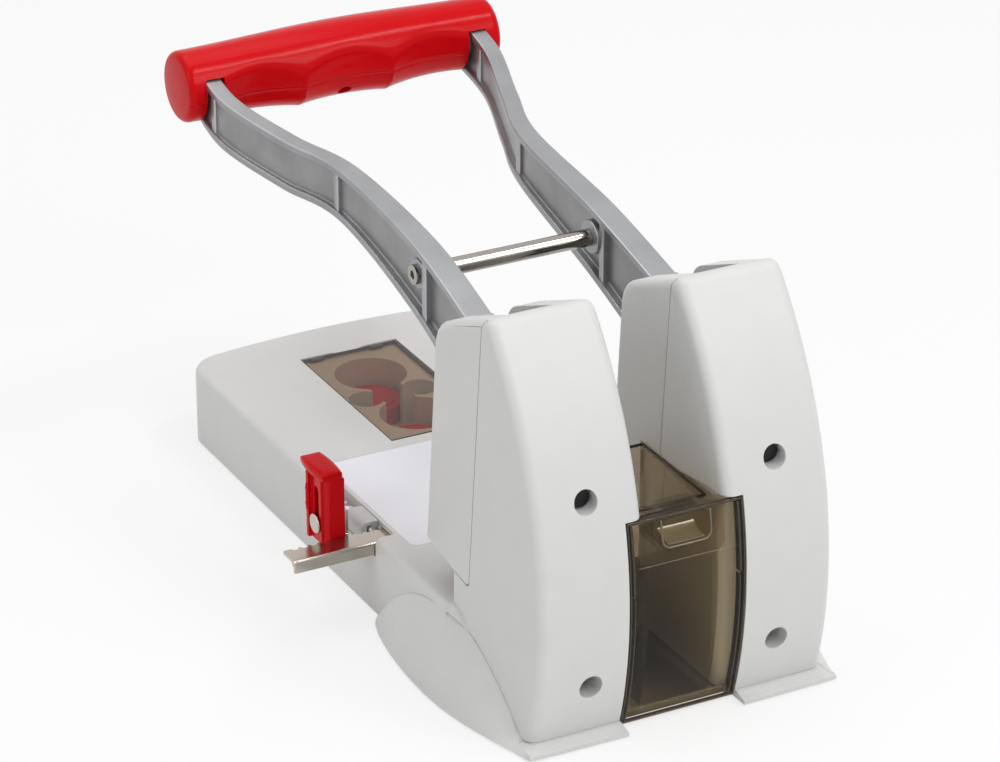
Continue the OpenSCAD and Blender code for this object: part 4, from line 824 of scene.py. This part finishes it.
def seam_path(gap):
    """The seam from above, round its corner, and the corner itself, moved back by a gap."""
    seam = HEAD + (SEAM_BACK + gap) * inward(FACE_UP)
    roof = HEAD - gap * inward(ROOF_AHEAD)
    corner = meet(seam, FACE_UP, roof, ROOF_AHEAD)
    return [corner + 200 * FACE_UP] + round_corner(corner, FACE_UP, ROOF_AHEAD, SEAM_TURN), corner


print("points in the seam:", len(seam_path(0)[0]))

# %% [markdown]
# Both covers give way to the lever arm's slot and to the tray, which is a little wider
# than the gap between the towers and so runs in a shallow recess. Each cut for the tray has
# a wall: the same form, grown by the wall's thickness, is first taken from the hollow.

# %% Slot and recesses
WALL, RECESS_WALL = 2.4, 1.6
HOLLOW_LOW = 2.9
UNDER, OVER, DEEP, BEHIND, AHEAD = -9, 220, -50, 300, -50
RECESS_TOP, NOTCH_TOP, NOTCH_Y = 84.4, 87.9, 138


def lever_slot(cover, side):
    cut(cover, "slot_front", lambda bm: slab(bm, side, (-8.5, 8.5), (AHEAD, 77), (78.96, OVER)))
    cut(cover, "slot_top", lambda bm: slab(bm, side, (-9.5, 9.5), (AHEAD, 103.0), (129.4, OVER)))


def tray_recess(bm, side, wall=0.0):
    slab(bm, side, (-40, -20.4 + wall), (86.3 - wall, BEHIND), (UNDER, RECESS_TOP + wall))


def tray_shoulder(bm, side, wall=0.0):
    low, high = RECESS_TOP + wall, NOTCH_TOP + wall
    ramp = [(116 - wall, UNDER), (BEHIND, UNDER), (BEHIND, high), (NOTCH_Y - wall, high), (116 - wall, low)]
    plate(bm, ramp, side * 0.5, side * (19.6 + wall))


def tray_notch(bm, side, wall=0.0):
    slab(bm, side, (-40, -15.0 + wall), (NOTCH_Y - wall, BEHIND), (UNDER, NOTCH_TOP + wall))


def tower_hollow(side):
    return form("hollow", lambda bm: tower_form(bm, side, WALL, HOLLOW_LOW))


print("tray recess up to", RECESS_TOP, "and", NOTCH_TOP)

# %% [markdown]
# The front cover keeps what lies ahead of the seam and above the throat, and lets the
# punch out through its floor. The rear cover keeps the rest: the column beside the throat,
# and two deep round holes for its screws.

# %% Cut the covers
HOLES_Z, HOLE_R = (24.5, 98.8), 4.75


def front_cover(side, word):
    cover = add_piece("head_cover_" + word, lambda bm: tower_form(bm, side), housing_grey, "base",
                      ["tower_front_cover_" + word])
    path, corner = seam_path(-SEAM_GAP)
    path += [corner + 130 * ROOF_AHEAD, Vector((-100, DEEP)), Vector((BEHIND, DEEP)), Vector((BEHIND, 400))]
    cut(cover, "behind", lambda bm: side_plate(bm, side, path))
    hollow = tower_hollow(side)
    roof = HEAD + WALL * inward(ROOF_AHEAD)
    below = [roof - 300 * ROOF_AHEAD, roof + 300 * ROOF_AHEAD, Vector((-300, -200)), Vector((400, -200))]
    cut(hollow, "roof", lambda bm: side_plate(bm, side, below))
    cut(hollow, "recess_wall", lambda bm: tray_recess(bm, side, RECESS_WALL))
    take_away(cover, hollow)
    lever_slot(cover, side)
    cut(cover, "punch_hole", lambda bm: post(bm, side, 0, PUNCH_Y, (0, 54.5), 4.75))
    cut(cover, "frame_gap", lambda bm: slab(bm, side, (-13.15, 13.15), (89.85, BEHIND), (UNDER, 54.6)))
    cut(cover, "recess", lambda bm: tray_recess(bm, side))
    return cover


def rear_cover(side, word):
    cover = add_piece("rear_cover_" + word, lambda bm: tower_form(bm, side), housing_grey, "base",
                      ["tower_rear_cover_" + word])
    path, corner = seam_path(SEAM_GAP)
    path += [meet(corner, ROOF_AHEAD, Vector((COLUMN_Y, 0)), Vector((0, 1))), Vector((COLUMN_Y, DEEP)),
             Vector((-100, DEEP)), Vector((-100, 400))]
    cut(cover, "ahead", lambda bm: side_plate(bm, side, path))
    hollow = tower_hollow(side)
    throat = [HEAD - 27.8 * ROOF_AHEAD, HEAD + 90 * ROOF_AHEAD, Vector((AHEAD, DEEP)),
              Vector((COLUMN_Y + WALL, DEEP))]
    cut(hollow, "column", lambda bm: side_plate(bm, side, throat))
    cut(hollow, "recess_wall", lambda bm: tray_recess(bm, side, RECESS_WALL))
    cut(hollow, "shoulder_wall", lambda bm: tray_shoulder(bm, side, RECESS_WALL))
    cut(hollow, "notch_wall", lambda bm: tray_notch(bm, side, RECESS_WALL))
    for z in HOLES_Z:
        cut(hollow, "boss", lambda bm: post(bm, side, 0, (137.65, 170), z, HOLE_R + 2.0))
    take_away(cover, hollow)
    cut(cover, "recess", lambda bm: tray_recess(bm, side))
    cut(cover, "shoulder", lambda bm: tray_shoulder(bm, side))
    notch = form("notch", lambda bm: tray_notch(bm, side))
    cut(notch, "flare", lambda bm: post(bm, side, -15.3, 138.3, (-20, 120), 5.1))
    take_away(cover, notch)
    cut(cover, "disc_space", lambda bm: slab(bm, side, (-14, 14), (AHEAD, COLUMN_Y + 2.5), (UNDER, 34)))
    for z in HOLES_Z:
        cut(cover, "screw_way", lambda bm: post(bm, side, 0, (139.95, 220), z, HOLE_R))
        cut(cover, "screw_hole", lambda bm: post(bm, side, 0, (130, 145), z, 2.2))
    lever_slot(cover, side)
    return cover


covers = []
for side, word in ((1, "right"), (-1, "left")):
    for cover in (front_cover(side, word), rear_cover(side, word)):
        smooth(cover.data)
        cover.data.materials.clear()
        cover.data.materials.append(housing_grey)
        soften(cover, 0.25, 2, crease=50)
        covers.append(cover)
print("covers:", {c.name: len(c.data.polygons) for c in covers})

# %% [markdown]
# ## Fenders
# On the real housing a flared fender runs along each side of the base, with a fine raised
# edge where it meets the tower. The solid model has the fender's body; its raised edge and
# its crease are a thin skin swept over it, section by section, because both change all
# along the side and no bevel follows them.

# %% A section of the fender
FENDER_FROM, FENDER_LONG = 28.2, 124.0
FENDER_FLARE, FENDER_HIGH, FENDER_PEAK, FENDER_FALL = 12, 29.6, 0.42, 0.505
FENDER_IN, DECK_SIDE, TOWER_SIDE = 58.0, 66.6, 64.4
RIM_Z, RIDGE, SWELL = 0.8, 0.6, 6.4
CREASE_AT, CREASE_HIGH = 0.47, 1.3
DECK_EDGE = ((66.45, 31.4), (66.0, 32.6), (65.2, 33.5), (63.8, 34.0), (FENDER_IN, 34.0))


def ease(t, a, b):
    """Goes smoothly from 0 to 1 as t goes from a to b."""
    u = min(1.0, max(0.0, (t - a) / (b - a)))
    return u * u * (3 - 2 * u)


def fender_height(t):
    """Height of the fender's upper edge: a quick rise to its peak, then a long fall."""
    if t < FENDER_PEAK:
        share = math.sin(math.pi / 2 * t / FENDER_PEAK) ** 0.75
    else:
        share = max(0.0, math.cos(math.pi / 2 * min(1.0, (t - FENDER_PEAK) / FENDER_FALL))) ** 0.8
    return max(FENDER_HIGH * share, 2.5) + 0.25


def fender_section(t, side):
    """Section of the skin at t, from the front tip (0) to the rear corner (1)."""
    flare = FENDER_FLARE * math.sin(math.pi * t) ** (0.5 if t < 0.5 else 1)
    z = fender_height(t)
    front = DECK_SIDE + min(0.9, 0.1 * flare)
    x = front + (TOWER_SIDE + 2 * ease(t, 0.85, 1) - front) * ease(t, 0.36, 0.56)
    low = max(DECK_SIDE - 0.05 + flare, x + 0.4)
    crease = CREASE_HIGH * ease(t, 0.15, CREASE_AT) * (1 - ease(t, CREASE_AT, CREASE_AT + 0.02))
    swell = SWELL * flare / FENDER_FLARE + crease
    ring = [(FENDER_IN, RIM_Z), (low, RIM_Z)]
    for v in (i / 12 for i in range(1, 12)):
        ring.append((low + (x - low) * v + swell * v * (1 - v), RIM_Z + (z - RIM_Z) * v))
    ridge = RIDGE * ease(t, 0.04, 0.2) * (1 - ease(t, 0.9, 1))
    ring += [(x, z), (x - 0.2, z + 0.7 * ridge), (x - 0.7, z + ridge), (x - 1.2, z + 0.6 * ridge)]
    fair = ease(t, 0.43, 0.458) * (1 - ease(t, 0.468, 0.6))
    for a, b in DECK_EDGE:
        near = min(a, x - 1.5)
        ring.append((near + (a - near) * fair, z - 0.3 + max(0.0, b - z + 0.3) * fair))
    y = FENDER_FROM + FENDER_LONG * t + 1.3 * ease(t, 0.93, 1)
    return [(side * a, y, b) for a, b in ring]


print("points in a fender's section:", len(fender_section(0.5, 1)))

# %% [markdown]
# The fender turns fastest at its front tip, so the sections lie closer together there.

# %% Sweep the two fender skins
FENDER_STEPS = 110


def fender_skin(bm, side):
    stations = [0.01 + 0.985 * (i / FENDER_STEPS) ** 1.2 for i in range(FENDER_STEPS + 1)]
    sweep(bm, [fender_section(t, side) for t in stations])


for word, side in (("right", 1), ("left", -1)):
    skin = add_piece("fender_skin_" + word, lambda bm: fender_skin(bm, side), housing_grey, "base")
    skin.data.set_sharp_from_angle(angle=math.radians(40))
    print(skin.name, "faces:", len(skin.data.polygons))

# %% [markdown]
# ## Return springs
# A spring pushes each punch back up. It is a round wire wound into a helix.

# %% Wind the two springs
SPRING_R, WIRE_R, SPRING_TURNS = 5.6, 0.65, 5


def wound_spring(bm, x, y, z0, z1, per_turn=28, sides=12):
    steps = SPRING_TURNS * per_turn
    rings = []
    for i in range(steps + 1):
        a = 2 * math.pi * i / per_turn
        z = z0 + (z1 - z0) * i / steps
        wire = [(SPRING_R + WIRE_R * math.cos(b), WIRE_R * math.sin(b)) for b in full_turn(sides)]
        rings.append([(x + d * math.cos(a), y + d * math.sin(a), z + h) for d, h in wire])
    sweep(bm, rings)


for hand, side in (("left", -1), ("right", 1)):
    low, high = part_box("return_spring_" + hand)
    z0, z1 = low.z / MM + WIRE_R, high.z / MM - WIRE_R
    spring = add_piece("wound_spring_" + hand, lambda bm: wound_spring(bm, side * PUNCH_X, PUNCH_Y, z0, z1),
                       zinc_steel, hand + "_punch", ["return_spring_" + hand])
    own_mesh(spring)
    print(spring.name, "from", round(z0, 2), "to", round(z1, 2))

# %% [markdown]
# ## Stop flag
# The red flag slides up and down on its rivet, and the paper's edge rests against it. It
# is one moulding: a stem with a sloped rear edge and a groove for the rivet's head, under
# a cap that a thumb pushes down. A raised double arrow shows which way it moves. Each part
# is a plan drawn once and lifted through a few heights, so the cap's edge can turn softly.

# %% Stem, cap and arrow
FLAG_X0, FLAG_X1 = 73.8, 84.4
FLAG_Y0, FLAG_Y1 = -0.4, 13.6
FLAG_LOW, FLAG_TOP = 28.4, 60.2
RIVET_Y, RIVET_Z = 6.6, 36.3
RIVET_SLOT_R, FLAG_TRAVEL = 1.9, 14.0
CAP_LIFTS = ((0.9, -3.7), (0.25, -3.2), (0.0, -2.4), (0.0, -0.8), (0.25, -0.35), (0.8, -0.08), (2.2, 0.0))


def flag_stem(bm):
    slope, groove, floor = 3.8, 4.35, FLAG_X1 - 1.5
    plan = [(FLAG_X0, FLAG_Y0), (FLAG_X1 - 0.6, FLAG_Y0), (FLAG_X1, FLAG_Y0 + 0.6),
            (FLAG_X1, RIVET_Y - groove), (floor, RIVET_Y - groove), (floor, RIVET_Y + groove),
            (FLAG_X1 - slope + 1.2, RIVET_Y + groove), (FLAG_X1 - slope, FLAG_Y1), (FLAG_X0, FLAG_Y1)]
    sweep(bm, [[(x, y, z) for x, y in plan] for z in (FLAG_LOW, FLAG_TOP - 3.2)])


def cap_plan(inset):
    """A leaf shape: both long sides bow out, the front edge is short and square."""
    front, rear, n = FLAG_Y0 - 6.5 + inset, FLAG_Y1 - inset, 14
    steps = [i / n for i in range(n + 1)]
    bow = [1 - (2 * v - 1) ** 2 for v in steps]
    inner = [(FLAG_X0 + 0.9 + inset - 0.8 * b, rear + (front - rear) * v) for v, b in zip(steps, bow)]
    outer = [(FLAG_X1 - 1.2 - inset + 1.15 * b, front + (rear - front) * v) for v, b in zip(steps, bow)]
    return inner + outer


def flag_cap(bm):
    sweep(bm, [[(x, y, FLAG_TOP + dz) for x, y in cap_plan(inset)] for inset, dz in CAP_LIFTS])


def thumb_arrow(bm):
    """A double arrow, up and down, raised 0.35 mm on the strip ahead of the groove."""
    y, z, half, wide, head, stem = FLAG_Y0 + 1.4, 46.0, 6.0, 1.05, 3.2, 0.5
    neck = half - head
    front = [(0, half), (-wide, neck), (-stem, neck), (-stem, -neck), (-wide, -neck)]
    shape = front + [(-p, -q) for p, q in front]
    plate(bm, [(y + p, z + q) for p, q in shape], FLAG_X1 - 0.4, FLAG_X1 + 0.35)


def rivet_slot(bm):
    outline = []
    for z, first in ((RIVET_Z, 180), (RIVET_Z + FLAG_TRAVEL, 0)):
        for a in (math.radians(first + 20 * i) for i in range(10)):
            outline.append((RIVET_Y + RIVET_SLOT_R * math.cos(a), z + RIVET_SLOT_R * math.sin(a)))
    plate(bm, outline, FLAG_X0 - 1, FLAG_X1 + 1)


flag = add_piece("red_flag", flag_stem, signal_red, "stop", ["stop_flag"])
cut(flag, "rivet_slot", rivet_slot)
soften(flag, 0.35)
for name, builder, edge in (("flag_cap", flag_cap, 0.15), ("flag_arrow", thumb_arrow, 0.12)):
    soften(add_piece(name, builder, signal_red, "stop"), edge, 2)

# %% [markdown]
# ## Finger cup of the tray
# The tray's rear panel has a hollow for two fingers. Its mouth is a fine rounded bead. Clear plastic alone
# loses the light on the bead, the trough's floor and the panel's sill among its walls. So they are slim
# pieces in a paler brown that follow the panel's arc, with one more thin line across the panel. That brown is
# a painted highlight on the bead, the floor and the line; the sill strip is the same brown.

# %% Bead, trough and sill
# A paler brown for the painted highlights on the tray's bead, trough floor and line, and for its sill strip.
smoke_painted_highlight = surface("smoke_painted_highlight", (0.15, 0.12, 0.065), 0.12, mottle=0.08, grain=500, depth=0.000004)
CUP_HALF, CUP_LOW, CUP_TOP, CUP_TURN = 10.4, 75.0, 86.0, 3.6
BEAD_R = 0.42


def arc_at(z, depth=0.0):
    """How far back the towers' rear arc lies at height z, less a depth."""
    return REAR_MID.x + math.sqrt((REAR_R - depth) ** 2 - (z - REAR_MID.y) ** 2)


def tray_strip(bm, x0, x1, z0, z1, outer, inner, steps=24):
    """A strip that follows the rear arc between two depths below it."""
    rings = []
    for z in (z0 + (z1 - z0) * i / steps for i in range(steps + 1)):
        near, far = arc_at(z, inner), arc_at(z, outer)
        rings.append([(x0, near, z), (x1, near, z), (x1, far, z), (x0, far, z)])
    sweep(bm, rings)


def cup_mouth():
    """The line of the cup's mouth in x and z: down, round two corners and up again."""
    path = [(-CUP_HALF, CUP_TOP), (-CUP_HALF, CUP_LOW + CUP_TURN)]
    for a in (math.pi / 2 * i / 8 for i in range(1, 9)):
        path.append((-CUP_HALF + CUP_TURN * (1 - math.cos(a)), CUP_LOW + CUP_TURN * (1 - math.sin(a))))
    return path + [(-x, z) for x, z in reversed(path)]


def mouth_bead(bm):
    path = [Vector(p) for p in cup_mouth()]
    last = len(path) - 1
    rings = []
    for i, middle in enumerate(path):
        along = path[min(last, i + 1)] - path[max(0, i - 1)]
        across = Vector((-along.y, along.x)).normalized() * BEAD_R
        depth = arc_at(middle.y, -0.1)
        rings.append([(middle.x + across.x * math.cos(a), depth + BEAD_R * math.sin(a),
                       middle.y + across.y * math.cos(a)) for a in full_turn(10)])
    sweep(bm, rings)


def cup_bead(bm):
    """The bead round the cup's mouth, the trough's floor, a sill and a thin line, in the brown of painted
    highlights.
    """
    mouth_bead(bm)
    run = [(0.6, 0.5), (5.5, 0.9), (9.0, 3.4), (9.0, 4.0), (5.5, 1.5), (0.6, 1.1)]
    plate(bm, [(arc_at(CUP_LOW, depth), CUP_LOW + up) for depth, up in run], -CUP_HALF + 2.6, CUP_HALF - 2.6)
    tray_strip(bm, -21.6, 21.6, 2.4, 6.4, 2.3, 2.9, 3)
    tray_strip(bm, -20.8, 20.8, 69.3, 69.55, -0.02, 0.2, 1)


bead = soften(add_piece("cup_bead", cup_bead, smoke_painted_highlight, "tray"), 0.1, 2)
print(bead.name, "faces:", len(bead.data.polygons))

# %% [markdown]
# ## Edges of the smoke plastic
# Clear brown plastic looks darkest where the eye looks along a wall instead of through it: at the lid's
# border, at the tray's side rims and round the opening of its funnel. The gap round the lid also lies in
# shadow. Real glass paths would need very many light bounces, so this darkness is painted shade: slim dark
# strips just inside the clear walls. The lid's two clips take the same dark.

# %% Painted shade at the rims of the lid and the tray
# Painted shade: a near-black brown for the dark rims and the lid's clips.
smoke_painted_shade = surface("smoke_painted_shade", (0.03, 0.023, 0.015), 0.16, mottle=0.1, grain=500, depth=0.000004)
LID_HALF, LID_FRONT, LID_REAR, LID_TOP = 22.5, -136.5, -49.5, 33.6
CLIPS_X, CLIP_HALF = (-12.9, 15.2), 2.9
RIM_HALF, RIM_LOW, RIM_TOP = 24.4, 1.4, 87.25
FUNNEL_Z = (83.3, 84.25)


def lid_rim(bm):
    low, high = LID_TOP - 1.5, LID_TOP - 0.05
    for side in (-1, 1):
        plate(bm, oblong(LID_FRONT + 0.1, LID_REAR - 0.4, low, high),
              side * (LID_HALF - 0.12), side * (LID_HALF - 0.75))
    for y0, y1 in ((LID_FRONT + 0.1, LID_FRONT + 0.6), (LID_REAR - 0.9, LID_REAR - 0.3)):
        plate(bm, oblong(y0, y1, low, high), -LID_HALF + 0.3, LID_HALF - 0.3)


def lid_clips(bm):
    low, high = LID_TOP - 1.4, LID_TOP - 0.12
    wedge = [(0.3, low), (2.0, low), (1.7, high), (0.3, high)]
    for x in CLIPS_X:
        plate(bm, [(LID_FRONT + y, z) for y, z in wedge], x - CLIP_HALF, x + CLIP_HALF)


def tray_rims(bm):
    for side in (-1, 1):
        tray_strip(bm, side * 24.55, side * 23.9, RIM_LOW, 87.2, 0.15, 3.1)
        tray_strip(bm, side * 22.7, side * 22.1, 1.6, 57.0, 0.3, 3.1)
        tray_strip(bm, side * 23.1, side * 22.1, 58.2, 85.8, 0.3, 3.1)
    for z0 in (RIM_TOP - 0.9, RIM_LOW):
        tray_strip(bm, -RIM_HALF, RIM_HALF, z0, z0 + 0.9, 0.25, 2.0, 2)
    for side in (-1, 1):
        plate(bm, oblong(88.2, 136, *FUNNEL_Z), side * 16.3, side * 17.1)
    for y in (88.0, 135.6):
        plate(bm, oblong(y, y + 0.8, *FUNNEL_Z), -16.6, 16.6)


for name, builder, body in (("lid_rim", lid_rim, "lid"), ("lid_clips", lid_clips, "lid"),
                            ("tray_rims", tray_rims, "tray")):
    rim = soften(add_piece(name, builder, smoke_painted_shade, body), 0.12, 2)
    print(rim.name, "faces:", len(rim.data.polygons))

# %% Print the boxes and finish
new_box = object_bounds()
for word, box in (("before", cad_box), ("after", new_box)):
    print("box", word, [[round(v, 4) for v in c] for c in box])
